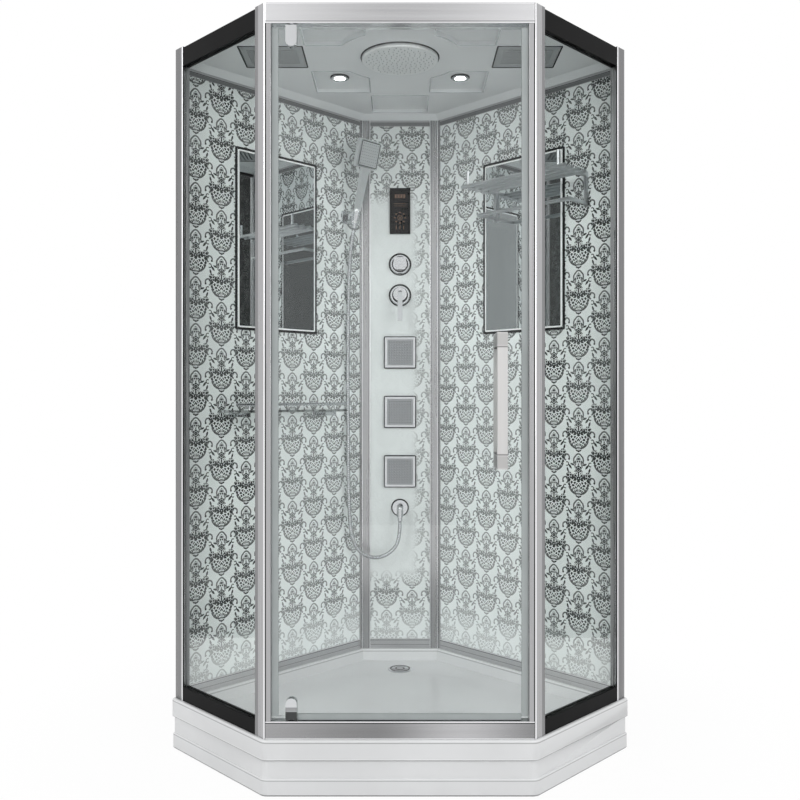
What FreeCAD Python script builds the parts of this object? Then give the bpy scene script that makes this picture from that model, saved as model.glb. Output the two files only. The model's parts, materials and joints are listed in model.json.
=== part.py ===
import FreeCAD, Part
import functools
import math
import os
import re

import Sketcher
from FreeCAD import Placement, Rotation, Vector

# Driving dimensions in millimetres, each with the thing it measures
DIMENSIONS = [
    ("tray_side", 1000, "tray edge along each room wall"),
    ("short_side", 470, "tray edge under each side panel"),
    ("total_height", 2170, "floor to the top of the posts"),
    ("tray_height", 155, "floor to the top of the tray rim"),
    ("rim_height", 55, "depth of the tray's outer lip"),
    ("rim_round", 7, "rounding of the rim's outer edge"),
    ("corner_round", 30, "rounding of the tray's and apron's front corners"),
    ("basin_depth", 40, "rim down to the standing floor"),
    ("basin_margin", 8, "ledge between the frame and the basin"),
    ("basin_draft", 12, "slope of the basin sides in degrees"),
    ("drain_from_column", 125, "column face to the middle of the drain"),
    ("drain_cover_radius", 42.5, "radius of the drain cover"),
    ("drain_hole_radius", 28, "radius of the hole in the tray floor"),
    ("drain_recess", 2, "depth of the seat of the drain cover"),
    ("cover_height", 6, "thickness of the drain cover at its middle"),
    ("trap_radius", 40, "outer radius of the trap cup"),
    ("trap_wall", 3.5, "wall of the trap and its spigot"),
    ("trap_flange_radius", 55, "radius of the trap flange"),
    ("trap_flange", 6, "thickness of the trap flange"),
    ("trap_bottom_z", 26, "height of the underside of the trap"),
    ("spigot_radius", 20, "outer radius of the waste spigot"),
    ("spigot_z", 52, "height of the waste spigot"),
    ("spigot_reach", 110, "drain middle to the end of the waste spigot"),
    ("collar_step", 5, "collar past the waste spigot"),
    ("collar_reach", 44, "drain middle to the face of the collar"),
    ("apron_gap", 1, "apron to the floor"),
    ("apron_inset", 5, "set-back of the apron's upper band"),
    ("apron_wall", 6, "thickness of the apron"),
    ("plinth_height", 50, "top of the apron's lower band"),
    ("plinth_round", 4, "rounding of the lower band"),
    ("toe_height", 5, "height of the set-back toe of the apron"),
    ("toe_inset", 3, "set-back of the toe"),
    ("tube_size", 25, "square tube of the support frame"),
    ("tube_wall", 2, "wall of the square tube"),
    ("runner_x", 150, "middle line to each runner"),
    ("runner_front", 60, "front edge to the front end of a runner"),
    ("runner_rear", 190, "rear corner to the rear end of a runner"),
    ("arm_reach", 640, "middle line to the end of a side arm"),
    ("arm_offset", 25, "outer corners to the side arms"),
    ("foot_inset", 30, "end of a tube to the foot under it"),
    ("foot_radius", 30, "radius of a foot pad"),
    ("foot_pad", 8, "thickness of a foot pad"),
    ("foot_cone", 12, "height of the cone above the pad"),
    ("foot_collar", 17.6, "radius of that cone on the pad"),
    ("stud_radius", 6, "radius of a foot's stud"),
    ("nut_radius", 11, "corner radius of a lock nut"),
    ("nut_height", 9, "height of a lock nut"),
    ("frame_inset", 8, "tray edge to the outer face of the frame"),
    ("post_depth", 28, "depth of posts and rails"),
    ("front_post_side", 43, "front post face on the side panel"),
    ("front_post_front", 18, "front post face beside the door"),
    ("outer_post_face", 41, "outer post face on the side panel"),
    ("wall_edge_gap", 5, "tray edge to the outer post at the room wall"),
    ("rail_end_gap", 3, "ridge of the post to the end of the header"),
    ("rail_inset", 1.5, "set-back of the side rails from the post faces"),
    ("rail_wall", 4, "wall of the hollow header and threshold"),
    ("header_height", 57, "height of the door header"),
    ("threshold_height", 49, "height of the door threshold"),
    ("side_top_height", 57, "height of a side panel's top rail"),
    ("side_bottom_height", 43, "height of a side panel's bottom rail"),
    ("side_rail_drop", 4, "top of the posts to the top rails"),
    ("glass_thickness", 5, "side glass and wall panels"),
    ("glass_line", 14, "outer face of the frame to the middle of the side glass"),
    ("slot_depth", 12, "depth of the slots that hold the glass"),
    ("slot_clearance", 0.2, "room each side of the glass in its slot"),
    ("slot_end_gap", 2, "room past the edge of the glass in its slot"),
    ("wall_face", 20, "tray edge to the inner face of the wall panels"),
    ("wall_top_drop", 52, "top of the posts to the top of the walls"),
    ("base_channel_height", 36, "height of the channel under the walls"),
    ("top_channel_height", 22, "height of the channel over the walls"),
    ("channel_floor", 6, "floor of the channels"),
    ("channel_front", 4, "channel in front of the panel"),
    ("channel_back", 8, "channel behind the panel"),
    ("corner_gap", 1.5, "panel edge to the line of the column corner"),
    ("column_setback", 172, "rear corner to the face of the column"),
    ("column_flange", 33, "corner profile on the column"),
    ("wall_flange", 10, "corner profile on the wall"),
    ("corner_plate", 4, "thickness of the corner profile"),
    ("channel_end_gap", 1, "corner profile to the end of a channel"),
    ("mirror_start", 224, "column corner to the mirror"),
    ("mirror_width", 328, "width of a mirror"),
    ("mirror_height", 590, "height of a mirror"),
    ("mirror_drop", 854, "top of the posts to the lower edge of the mirrors"),
    ("mirror_thickness", 6, "thickness of a mirror"),
    ("mirror_bevel", 4, "bevel of a mirror's edge"),
    ("shelf_start", 171, "column corner to the shelf"),
    ("shelf_length", 450, "length of the shelf"),
    ("shelf_depth", 115, "depth of the shelf"),
    ("shelf_gap", 276, "mirrors down to the underside of the shelf glass"),
    ("shelf_thickness", 8, "thickness of the shelf glass"),
    ("shelf_rail_rise", 18, "shelf glass to the middle of its rail"),
    ("shelf_rod", 5, "radius of the shelf rail"),
    ("shelf_stub", 4, "radius of the posts under the shelf rail"),
    ("shelf_arm", 14, "width of a shelf bracket"),
    ("shelf_arm_inset", 40, "shelf end to a bracket"),
    ("rack_start", 275, "column corner to the first rack bracket"),
    ("rack_length", 370, "distance between the rack brackets"),
    ("rack_overhang", 22, "rack bars past the brackets"),
    ("rack_depth", 160, "wall to the front bar of the rack"),
    ("rack_drop", 370, "top of the posts to the rack bars"),
    ("rack_rod", 6, "radius of the rack bars"),
    ("rack_pitch", 37, "distance between the rack bars"),
    ("hanger_drop", 90, "rack bars to the hanging bar"),
    ("hanger_depth", 100, "wall to the hanging bar"),
    ("rack_upright", 50, "uprights above the front bar"),
    ("upright_rod", 4.8, "radius of those uprights"),
    ("rack_bars", 4, "number of rack bars"),
    ("rack_bracket", 10, "thickness of a rack bracket"),
    ("display_width", 76, "width of the control display"),
    ("display_height", 170, "height of the control display"),
    ("display_depth", 10, "depth of the control display"),
    ("display_bevel", 2, "bevel of the display's front edge"),
    ("display_rise", 198, "diverter up to the middle of the display"),
    ("box_width", 64, "width of the control box"),
    ("box_height", 150, "height of the control box"),
    ("box_depth", 32, "depth of the control box"),
    ("gland_radius", 8, "bore of the cable gland on the control box"),
    ("gland_wall", 3, "wall of the cable gland"),
    ("gland_length", 18, "length of the cable gland"),
    ("mixer_drop", 702, "top of the posts to the middle of the mixer"),
    ("valve_pitch", 115, "mixer up to the diverter"),
    ("plate_radius", 37.5, "radius of an escutcheon"),
    ("plate_depth", 8, "depth of an escutcheon"),
    ("plate_edge", 2.7, "straight edge of an escutcheon"),
    ("spindle_radius", 14, "radius of a valve spindle"),
    ("spindle_fit", 0.08, "radial room round a spindle"),
    ("running_gap", 0.3, "gap between turning and fixed faces"),
    ("knob_size", 46, "width of the diverter knob"),
    ("knob_round", 12, "corner rounding of the diverter knob"),
    ("knob_depth", 24, "depth of the diverter knob"),
    ("drum_radius", 25, "radius of the mixer drum"),
    ("drum_depth", 32, "depth of the mixer drum"),
    ("lever_width", 18, "width of the mixer lever"),
    ("lever_thickness", 8, "thickness of the mixer lever"),
    ("lever_length", 98, "mixer axis to the end of the lever"),
    ("lever_top", 5, "lever above its pin"),
    ("lever_gap", 4, "drum face to the lever"),
    ("lever_pin_radius", 3, "radius of the lever's pin"),
    ("pin_setback", 10, "drum face to the lever's pin"),
    ("groove_height", 23, "height of the lever's groove in the drum"),
    ("tongue_width", 12, "width of the lever's tongue"),
    ("valve_width", 50, "width of the valve body"),
    ("valve_depth", 40, "depth of the valve body"),
    ("valve_margin", 38, "valve body past the spindles"),
    ("valve_gap", 8, "column panel to the valve body"),
    ("neck_radius", 17.5, "radius of a valve neck"),
    ("neck_gap", 0.5, "room round a neck in the panel"),
    ("inlet_radius", 10.478, "outer radius of a half-inch inlet thread"),
    ("inlet_length", 18, "length of an inlet"),
    ("inlet_x", 13.5, "middle line to each inlet"),
    ("inlet_setback", 13, "front of the valve body to the inlets"),
    ("pipe_radius", 6, "radius of the water pipes"),
    ("feed_radius", 8, "radius of the pipe that feeds the jets"),
    ("feed_tail", 12, "hose branch to the end of the feed pipe"),
    ("pipe_setback", 33, "front of the valve body to the pipes"),
    ("pipe_room", 0.5, "room round a pipe in the roof"),
    ("block_size", 24, "pipe blocks on the roof"),
    ("block_height", 13, "height of the pipe blocks"),
    ("jet_size", 112, "width of a body jet"),
    ("jet_depth", 14, "depth of a jet frame"),
    ("jet_rim", 8, "rim of a jet frame"),
    ("jet_back", 4, "back wall of a jet frame"),
    ("jet_play", 1.2, "jet plate to the rim"),
    ("jet_plate", 4, "thickness of a jet plate"),
    ("jet_pivot", 6.5, "back wall to the middle of the jet plate"),
    ("jet_ball", 12, "radius of the ball behind a jet plate"),
    ("jet_drop", 213, "mixer down to the middle of the top jet"),
    ("jet_pitch", 221, "distance between the jets"),
    ("jet_body_radius", 30, "radius of a jet body"),
    ("jet_body_length", 24, "length of a jet body behind the panel"),
    ("jet_bore", 14, "bore of a jet body"),
    ("elbow_gap", 135, "lowest jet down to the middle of the hose elbow"),
    ("elbow_plate_radius", 28, "radius of the elbow's plate"),
    ("elbow_plate", 7, "thickness of the elbow's plate"),
    ("elbow_radius", 12, "radius of the elbow"),
    ("elbow_reach", 40, "column face to the hanging leg of the elbow"),
    ("elbow_drop", 30, "length of the hanging leg of the elbow"),
    ("ferrule_length", 14, "length of the hose ferrule"),
    ("ferrule_radius", 9, "radius of the hose ferrule"),
    ("hose_radius", 7, "outer radius of the hose"),
    ("hose_root", 6.2, "radius between the ribs of the hose"),
    ("hose_bore", 4.5, "bore radius of the hose"),
    ("hose_ribs", 200, "number of ribs on the hose"),
    ("holder_along", 75.5, "column corner to the handset holder"),
    ("holder_reach", 55, "wall to the middle of the holder"),
    ("holder_drop", 425, "top of the posts to the middle of the holder socket"),
    ("holder_wall", 4, "wall of the holder socket"),
    ("holder_length", 36, "length of the holder socket"),
    ("holder_plate", 46, "width of the holder's wall plate"),
    ("holder_plate_depth", 7, "depth of the holder's wall plate"),
    ("holder_arm", 20, "width of the holder's arm"),
    ("handset_lean", 16, "lean of the hand shower in degrees"),
    ("socket_gap", 0.25, "room round the handset cone"),
    ("cone_radius", 11, "middle radius of the handset cone"),
    ("cone_flare", 0.06, "growth of the cone's radius per millimetre"),
    ("cone_half", 25, "half length of the handset cone"),
    ("nut_length", 20, "length of the hose's conical nut"),
    ("nut_tip", 8, "small radius of the hose's conical nut"),
    ("hose_lead", 60, "straight run of the hose below its nut"),
    ("grip_width", 20, "handset grip above the cone"),
    ("neck_width", 34, "handset grip below the head"),
    ("grip_length", 145, "length of the handset grip"),
    ("head_width", 104, "width of the handset head"),
    ("head_height", 98, "height of the handset head"),
    ("head_round", 8, "corner rounding of the handset head"),
    ("handset_thickness", 15, "thickness of the handset"),
    ("spray_margin", 7, "edge of the head to the spray plate"),
    ("spray_thickness", 3, "thickness of the spray plate"),
    ("door_thickness", 6, "thickness of the door glass"),
    ("door_setback", 10, "outer face of the frame to the door glass"),
    ("door_edge", 31.5, "ridge of the posts to the edge of the door glass"),
    ("pivot_inset", 73.5, "ridge of the left post to the door pivot"),
    ("pivot_gap", 4, "clamps to the header and threshold"),
    ("pivot_radius", 6, "radius of the pivot pins"),
    ("pivot_fit", 0.05, "radial room round the pivot pins"),
    ("pivot_reach", 10, "pivot pins inside the header and threshold"),
    ("clamp_width", 31, "width of a pivot clamp"),
    ("clamp_height", 58, "height of a pivot clamp"),
    ("clamp_cheek", 9, "cheek of a clamp beside the glass"),
    ("clamp_bridge", 7, "clamp past the edge of the glass"),
    ("clamp_play", 0.1, "room each side of the glass in a clamp"),
    ("seal_width", 12.4, "door seal past the edge of the glass"),
    ("seal_cover", 6, "door seal over the edge of the glass"),
    ("seal_lip", 1.5, "thickness of a door seal's lips"),
    ("sweep_gap", 1.5, "threshold to the sweep under the door"),
    ("handle_x", 276, "middle line to the door handle"),
    ("handle_width", 28, "width of the door handle"),
    ("handle_thickness", 12, "thickness of the handle's bar"),
    ("handle_standoff", 36, "door glass to the handle's bar"),
    ("handle_length", 370, "length of the door handle"),
    ("handle_rise", 692, "threshold up to the lower end of the door handle"),
    ("handle_block", 38, "height of the handle's blocks"),
    ("handle_bolt", 5, "radius of the handle's bolts"),
    ("bolt_room", 1, "room round the bolts in the glass"),
    ("roof_thickness", 38, "thickness of the roof panel"),
    ("roof_inset", 6, "tray edge to the roof at the room walls"),
    ("roof_gap", 1, "frame to the edge of the roof"),
    ("roof_border", 16, "edge of the roof to the cornice"),
    ("cove_depth", 17, "walls up to the ceiling"),
    ("cove_draft", 55, "slope of the cornice in degrees"),
    ("coffer_depth", 12, "depth of the ceiling coffers"),
    ("rain_from_front", 309, "front edge to the middle of the rain head"),
    ("rain_radius", 117.5, "radius of the rain head"),
    ("rain_thickness", 12, "thickness of the rain head"),
    ("rain_edge", 4, "bevel of the rain head's edge"),
    ("rain_neck", 10, "radius of the rain head's neck"),
    ("ring_radius", 198, "flat ring of ceiling round the rain head"),
    ("front_coffer_near", 80, "front edge to the front coffers"),
    ("front_coffer_far", 213, "front edge to the far side of the front coffers"),
    ("back_coffer_near", 422, "front edge to the back coffers"),
    ("back_coffer_far", 613, "front edge to the far side of the back coffers"),
    ("coffer_inner", 103, "middle line to the coffers"),
    ("coffer_outer", 282, "middle line to the outer side of the coffers"),
    ("tail_coffer_half", 97, "half width of the coffer before the column"),
    ("tail_coffer_near", 645, "front edge to the coffer before the column"),
    ("tail_coffer_far", 822, "front edge to the end of that coffer"),
    ("spot_x", 199, "middle line to the spots"),
    ("spot_from_front", 504, "front edge to the spots"),
    ("spot_radius", 28.5, "radius of a spot's bezel"),
    ("spot_bezel", 5, "thickness of a spot's bezel"),
    ("spot_can", 22, "radius of a spot's can"),
    ("spot_room", 0.5, "room round a spot's can in the roof"),
    ("spot_lens", 18, "radius of a spot's lens"),
    ("lens_thickness", 4, "thickness of a spot's lens"),
    ("grille_x", 387, "middle line to the grilles"),
    ("grille_from_front", 304, "front edge to the grilles"),
    ("grille_width", 184, "width of a grille"),
    ("grille_depth", 160, "depth of a grille front to back"),
    ("grille_room", 1, "room round a grille in its coffer"),
    ("grille_slot", 7, "width of a grille slot"),
    ("grille_pitch", 16, "distance between grille slots"),
    ("grille_border", 18, "edge of a grille to its slots"),
    ("fan_size", 120, "width of the fan"),
    ("fan_room", 1, "room round the fan in the roof"),
    ("fan_height", 20, "height of the fan"),
    ("fan_bore", 56, "radius of the fan's air way"),
    ("fan_tip", 54, "radius of the impeller"),
    ("fan_hub", 19, "radius of the impeller's hub"),
    ("fan_flange", 10, "fan flange on the roof"),
    ("fan_plate", 2, "thickness of the fan's flange and struts"),
    ("blade_count", 7, "number of fan blades"),
    ("blade_width", 20, "width of a fan blade"),
    ("blade_thickness", 1.2, "thickness of a fan blade"),
    ("blade_tilt", 28, "tilt of the fan blades in degrees"),
    ("fan_pin", 2.5, "radius of the fan's pin"),
    ("fan_pin_fit", 0.05, "radial room round the fan's pin"),
    ("speaker_radius", 52, "radius of the speaker's cone"),
    ("speaker_flange", 62, "radius of the speaker's flange"),
    ("speaker_dish", 8, "depth of the speaker's cone below the roof"),
    ("speaker_slope", 6.7, "rise of the basket to the magnet"),
    ("magnet_radius", 26, "radius of the speaker's magnet"),
]

# Places worked out from the driving dimensions
LAYOUT = [
    ("handle_reach", "handle_standoff + handle_thickness - frame_inset - door_setback"),
    ("plan_depth", "(tray_side + short_side) / sqrt(2)"),
    ("rear_y", "(plan_depth + handle_reach) / 2"),
    ("front_y", "rear_y - plan_depth"),
    ("outer_y", "rear_y - tray_side / sqrt(2)"),
    ("front_half", "(tray_side - short_side) / sqrt(2)"),
    ("ridge_x", "front_half - sqrt(2) * frame_inset + frame_inset"),
    ("ridge_y", "front_y + frame_inset"),
    ("frame_back", "frame_inset + post_depth"),
    ("column_y", "rear_y - column_setback"),
    ("column_half", "column_setback - sqrt(2) * wall_face"),
    ("corner_along", "sqrt(2) * column_setback - wall_face"),
    ("wall_end", "tray_side - frame_back"),
    ("wall_top", "total_height - wall_top_drop"),
    ("panel_back", "wall_face - glass_thickness"),
    ("panel_low", "tray_height + channel_floor"),
    ("panel_high", "wall_top - channel_floor - slot_end_gap"),
    ("ceiling_z", "wall_top + cove_depth"),
    ("coffer_z", "ceiling_z + coffer_depth"),
    ("roof_top", "wall_top + roof_thickness"),
    ("floor_z", "tray_height - basin_depth"),
    ("lip_z", "tray_height - rim_height"),
    ("drain_y", "column_y - drain_from_column"),
    ("arm_y", "outer_y + arm_offset"),
    ("side_start", "(sqrt(2) - 1) * frame_inset + front_post_side"),
    ("side_end", "short_side - wall_edge_gap - outer_post_face"),
    ("slot_near", "frame_inset + glass_line - glass_thickness / 2 - slot_clearance"),
    ("slot_far", "frame_inset + glass_line + glass_thickness / 2 + slot_clearance"),
    ("header_z", "total_height - header_height"),
    ("threshold_z", "tray_height + threshold_height"),
    ("door_front", "ridge_y + door_setback"),
    ("door_middle", "door_front + door_thickness / 2"),
    ("door_half", "ridge_x - door_edge"),
    ("door_low", "threshold_z + pivot_gap + clamp_bridge"),
    ("door_high", "header_z - pivot_gap - clamp_bridge"),
    ("pivot_x", "pivot_inset - ridge_x"),
    ("mirror_z", "total_height - mirror_drop"),
    ("shelf_z", "mirror_z - shelf_gap"),
    ("shelf_top", "shelf_z + shelf_thickness"),
    ("rack_z", "total_height - rack_drop"),
    ("mixer_z", "total_height - mixer_drop"),
    ("diverter_z", "mixer_z + valve_pitch"),
    ("display_z", "diverter_z + display_rise"),
    ("jet_top_z", "mixer_z - jet_drop"),
    ("elbow_z", "jet_top_z - 2 * jet_pitch - elbow_gap"),
    ("holder_z", "total_height - holder_drop"),
    ("handle_z", "threshold_z + handle_rise"),
    ("drum_front", "plate_depth + running_gap + drum_depth"),
    ("valve_front", "glass_thickness + valve_gap"),
    ("valve_low", "mixer_z - valve_margin"),
    ("valve_high", "diverter_z + valve_margin"),
    ("pipe_y", "column_y + valve_front + pipe_setback"),
    ("pipe_z", "roof_top + block_height / 2"),
    ("jet_plane", "jet_back + jet_pivot"),
    ("rain_y", "front_y + rain_from_front"),
    ("fan_low", "coffer_z + running_gap"),
    ("holder_spot", "corner_along + holder_along"),
    ("holder_in", "wall_face + holder_reach"),
    ("grip_top", "cone_half + grip_length"),
    ("handset_top", "grip_top + head_height"),
    ("hose_end", "cone_half + nut_length"),
]

# Limits used to pick edges by their place and direction
TOUCH = 0.01
NEAR = 1
LEAN_DEGREES = 25

doc = FreeCAD.newDocument("shower_cabin")
dims = doc.addObject("Spreadsheet::Sheet", "dims")
layout = doc.addObject("Spreadsheet::Sheet", "layout")
sheet_of = {}
nodes = {}


def formula(text):
    """Write the sheet in front of every size that a formula names."""
    return re.sub(r"[a-z][a-z_]*", lambda word: sheet_of.get(word.group(), "") + word.group(), text)


def fill_sheets():
    """Put the dimensions and the places worked out from them into their sheets."""
    for row, (alias, value, note) in enumerate(DIMENSIONS, start=1):
        dims.set(f"A{row}", note)
        dims.set(f"B{row}", str(value))
        dims.setAlias(f"B{row}", alias)
        sheet_of[alias] = "dims."
    for row, (alias, text) in enumerate(LAYOUT, start=1):
        layout.set(f"B{row}", "=" + formula(text))
        layout.setAlias(f"B{row}", alias)
        sheet_of[alias] = "layout."
        doc.recompute()


def value(alias):
    """Read one size from its sheet as a number."""
    sheet = dims if sheet_of[alias] == "dims." else layout
    return float(sheet.get(alias))


fill_sheets()

# Frames of the pieces: room x and y parts of the direction along, and the place of the local origin
ROOM = ("1", "0", "0", "0")
SIDE = ("sqrt(0.5)", "sqrt(0.5)", "front_half", "front_y")
WALL = ("-sqrt(0.5)", "-sqrt(0.5)", "0", "rear_y")
COLUMN = ("-1", "0", "0", "column_y")
COLUMN_FRONT = ("1", "0", "0", "column_y")
DOOR_FRONT = ("1", "0", "0", "door_front")

AXIS_TURNS = {
    "x": Rotation(Vector(0, 1, 0), 90),
    "y": Rotation(Vector(1, 0, 0), -90),
    "z": Rotation(),
}


def bind(thing, **formulas):
    """Tie properties of an object to formulas of sizes."""
    for name, text in formulas.items():
        thing.setExpression(name, formula(text))


def numbers(points):
    """Rough start values of sketch points, read from the sheets."""
    probe = doc.addObject("Spreadsheet::Sheet", "probe")
    for row, (x, y) in enumerate(points, start=1):
        probe.set(f"A{row}", "=" + formula(x))
        probe.set(f"B{row}", "=" + formula(y))
    doc.recompute()
    found = [Vector(probe.get(f"A{row}"), probe.get(f"B{row}"), 0) for row in range(1, len(points) + 1)]
    doc.removeObject(probe.Name)
    return found


@functools.cache
def frame_turn(cosine, sine):
    """Turn about Z whose X axis has the given room x and y parts."""
    ahead = numbers([(cosine, sine)])[0]
    return Rotation(ahead, Vector(-ahead.y, ahead.x, 0), Vector(0, 0, 1), "ZXY")


def spot(frame, along, inward):
    """Room x and y formulas of a point given along and inward in a frame."""
    cosine, sine, base_x, base_y = frame
    x = f"{base_x} + ({along}) * {cosine} - ({inward}) * {sine}"
    y = f"{base_y} + ({along}) * {sine} + ({inward}) * {cosine}"
    return x, y


def place(thing, at, frame=ROOM, turn=Rotation()):
    """Set an object's place in a frame, with a turn of its own in that frame."""
    x, y = spot(frame, at[0], at[1])
    thing.Placement = Placement(Vector(), frame_turn(*frame[:2]) * turn)
    for axis, text in zip("xyz", (x, y, at[2])):
        thing.setExpression(f"Placement.Base.{axis}", formula(text))
    return thing


def box(name, corner, size, frame=ROOM):
    """Block from its low corner and its sizes along, inward and up."""
    thing = doc.addObject("Part::Box", name)
    bind(thing, Length=size[0], Width=size[1], Height=size[2])
    return place(thing, corner, frame)


def rod(name, start, radius, length, axis="z", frame=ROOM):
    """Round bar from the middle of its first end."""
    thing = doc.addObject("Part::Cylinder", name)
    bind(thing, Radius=radius, Height=length)
    return place(thing, start, frame, AXIS_TURNS[axis])


def cone(name, start, first, last, length, axis="z", frame=ROOM):
    """Cone from the middle of its first end."""
    thing = doc.addObject("Part::Cone", name)
    bind(thing, Radius1=first, Radius2=last, Height=length)
    return place(thing, start, frame, AXIS_TURNS[axis])


def ball(name, middle, radius, frame=ROOM):
    """Ball about its middle."""
    thing = doc.addObject("Part::Sphere", name)
    bind(thing, Radius=radius)
    return place(thing, middle, frame)


def fuse(name, *pieces):
    """One solid from several."""
    thing = doc.addObject("Part::MultiFuse", name)
    thing.Shapes = list(pieces)
    thing.Refine = True
    return thing


def cut(name, base, *tools):
    """A solid with other solids taken out of it."""
    thing = doc.addObject("Part::Cut", name)
    thing.Base = base
    thing.Tool = tools[0] if len(tools) == 1 else fuse(name + "_tools", *tools)
    return thing


def group(name, *pieces):
    """Separate solids kept together as one sub-part."""
    thing = doc.addObject("Part::Compound", name)
    thing.Links = list(pieces)
    return thing


def mirror(name, source):
    """The same piece on the other side of the cabin."""
    thing = doc.addObject("Part::Mirroring", name)
    thing.Source = source
    thing.Normal = Vector(1, 0, 0)
    return thing


def keep(thing):
    """List an object as a finished sub-part."""
    thing.Label = thing.Name
    nodes[thing.Name] = thing
    return thing


def keep_pair(made, made_side):
    """Keep a left or right piece and its mirror image."""
    other_side = "left" if made_side == "right" else "right"
    keep(made)
    keep(mirror(made.Name.replace(made_side, other_side), made))


def new_body(name, at=("0", "0", "0"), frame=ROOM, turn=Rotation()):
    """Empty body at a place in a frame."""
    return place(doc.addObject("PartDesign::Body", name), at, frame, turn)


def new_sketch(body, plane, height="0"):
    """Sketch on one of the body's own planes, raised along its normal."""
    sketch = body.newObject("Sketcher::SketchObject", body.Name + "_sketch")
    role = [item for item in body.Origin.OriginFeatures if item.Role == plane + "_Plane"]
    sketch.AttachmentSupport = [(role[0], "")]
    sketch.MapMode = "FlatFace"
    sketch.setExpression("AttachmentOffset.Base.z", formula(height))
    return sketch


def outline(sketch, points):
    """Closed outline of straight lines through tied points."""
    start = sketch.GeometryCount
    corners = numbers(points)
    count = len(points)
    for index, corner in enumerate(corners):
        sketch.addGeometry(Part.LineSegment(corner, corners[(index + 1) % count]), False)
    for index in range(count):
        following = start + (index + 1) % count
        sketch.addConstraint(Sketcher.Constraint("Coincident", start + index, 2, following, 1))
    for index, (point, corner) in enumerate(zip(points, corners)):
        for kind, text, number in (("DistanceX", point[0], corner.x), ("DistanceY", point[1], corner.y)):
            rule = Sketcher.Constraint(kind, -1, 1, start + index, 1, number)
            sketch.setExpression(f"Constraints[{sketch.addConstraint(rule)}]", formula(text))
    return sketch


def circle(sketch, middle, radius):
    """Circle about a tied middle."""
    centre = numbers([middle])[0]
    size = numbers([(radius, "0")])[0].x
    index = sketch.addGeometry(Part.Circle(centre, Vector(0, 0, 1), size), False)
    rules = (
        (Sketcher.Constraint("Radius", index, size), radius),
        (Sketcher.Constraint("DistanceX", -1, 1, index, 3, centre.x), middle[0]),
        (Sketcher.Constraint("DistanceY", -1, 1, index, 3, centre.y), middle[1]),
    )
    for rule, text in rules:
        sketch.setExpression(f"Constraints[{sketch.addConstraint(rule)}]", formula(text))
    return sketch


def feature(body, kind, sketch, length, **settings):
    """Pad or pocket of a sketch."""
    thing = body.newObject("PartDesign::" + kind, f"{body.Name}_{kind.lower()}")
    thing.Profile = sketch
    bind(thing, Length=length)
    for name, setting in settings.items():
        setattr(thing, name, setting)
    return thing


def revolve(body, sketch, axis="V_Axis"):
    """Full turn of a sketch about one of its axes."""
    thing = body.newObject("PartDesign::Revolution", body.Name + "_turned")
    thing.Profile = sketch
    thing.ReferenceAxis = (sketch, [axis])
    thing.Angle = 360
    return thing


def dress(body, kind, base, size, chosen):
    """Fillet or chamfer of the edges that a test chooses."""
    doc.recompute()
    edges = [f"Edge{index}" for index, edge in enumerate(base.Shape.Edges, 1) if chosen(edge)]
    thing = body.newObject("PartDesign::" + kind, f"{body.Name}_{kind.lower()}")
    thing.Base = (base, edges)
    bind(thing, **{"Radius" if kind == "Fillet" else "Size": size})
    return thing


def rectangle(low_x, low_y, high_x, high_y):
    """Corner points of an upright rectangle."""
    return [(low_x, low_y), (high_x, low_y), (high_x, high_y), (low_x, high_y)]


def both_sides(points):
    """A right half outline followed by its mirror image in reverse."""
    return points + [(f"-({x})", y) for x, y in reversed(points)]


# Plan corners of the tray, moved inward from the wall, side and front edges
def outer_corner(wall, side):
    x = f"(tray_side - ({wall}) - ({side})) / sqrt(2)"
    y = f"rear_y - (tray_side + ({wall}) - ({side})) / sqrt(2)"
    return x, y


def front_corner(side, front):
    return f"front_half - sqrt(2) * ({side}) + ({front})", f"front_y + ({front})"


def plan(wall, side, front, rear=None):
    """Plan outline of the cabin; rear cuts the rear corner off at a line across it."""
    right = [front_corner(side, front), outer_corner(wall, side)]
    if rear:
        right.append((f"rear_y - sqrt(2) * ({wall}) - ({rear})", rear))
        return both_sides(right)
    corner = ("0", f"rear_y - sqrt(2) * ({wall})")
    return right + [corner] + [(f"-({x})", y) for x, y in reversed(right)]


def runs_along(edge, axis):
    """Whether an edge starts out along an axis, give or take the lean allowed."""
    return abs(edge.tangentAt(edge.FirstParameter).dot(axis)) > math.cos(math.radians(LEAN_DEGREES))


# Shower tray, its apron and what stands under it
def front_upright(edge):
    """Outer upright edge at one of the two front corners."""
    ahead = value("front_y") + value("apron_inset") + NEAR
    return runs_along(edge, Vector(0, 0, 1)) and edge.CenterOfMass.y < ahead


def make_tray():
    body = new_body("shower_tray")
    rim = feature(body, "Pad", outline(new_sketch(body, "XY", "lip_z"), plan("0", "0", "0")), "rim_height")
    rim = dress(body, "Fillet", rim, "corner_round", front_upright)
    top = value("tray_height")
    limit = value("outer_y") - NEAR

    def outer_front_edge(edge):
        level = all(abs(vertex.Z - top) < TOUCH for vertex in edge.Vertexes)
        return level and edge.CenterOfMass.y < limit

    dress(body, "Fillet", rim, "rim_round", outer_front_edge)
    ledge = "wall_face + channel_front + basin_margin"
    basin = plan(ledge, "frame_back + basin_margin", "frame_back + basin_margin",
                 "column_y - channel_front - basin_margin")
    sunk = feature(body, "Pocket", outline(new_sketch(body, "XY", "tray_height"), basin), "basin_depth")
    bind(sunk, TaperAngle="-basin_draft")
    seat = circle(new_sketch(body, "XY", "floor_z"), ("0", "drain_y"), "drain_cover_radius + running_gap")
    feature(body, "Pocket", seat, "drain_recess")
    hole = circle(new_sketch(body, "XY", "floor_z"), ("0", "drain_y"), "drain_hole_radius")
    feature(body, "Pocket", hole, "rim_height")
    keep(body)


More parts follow.
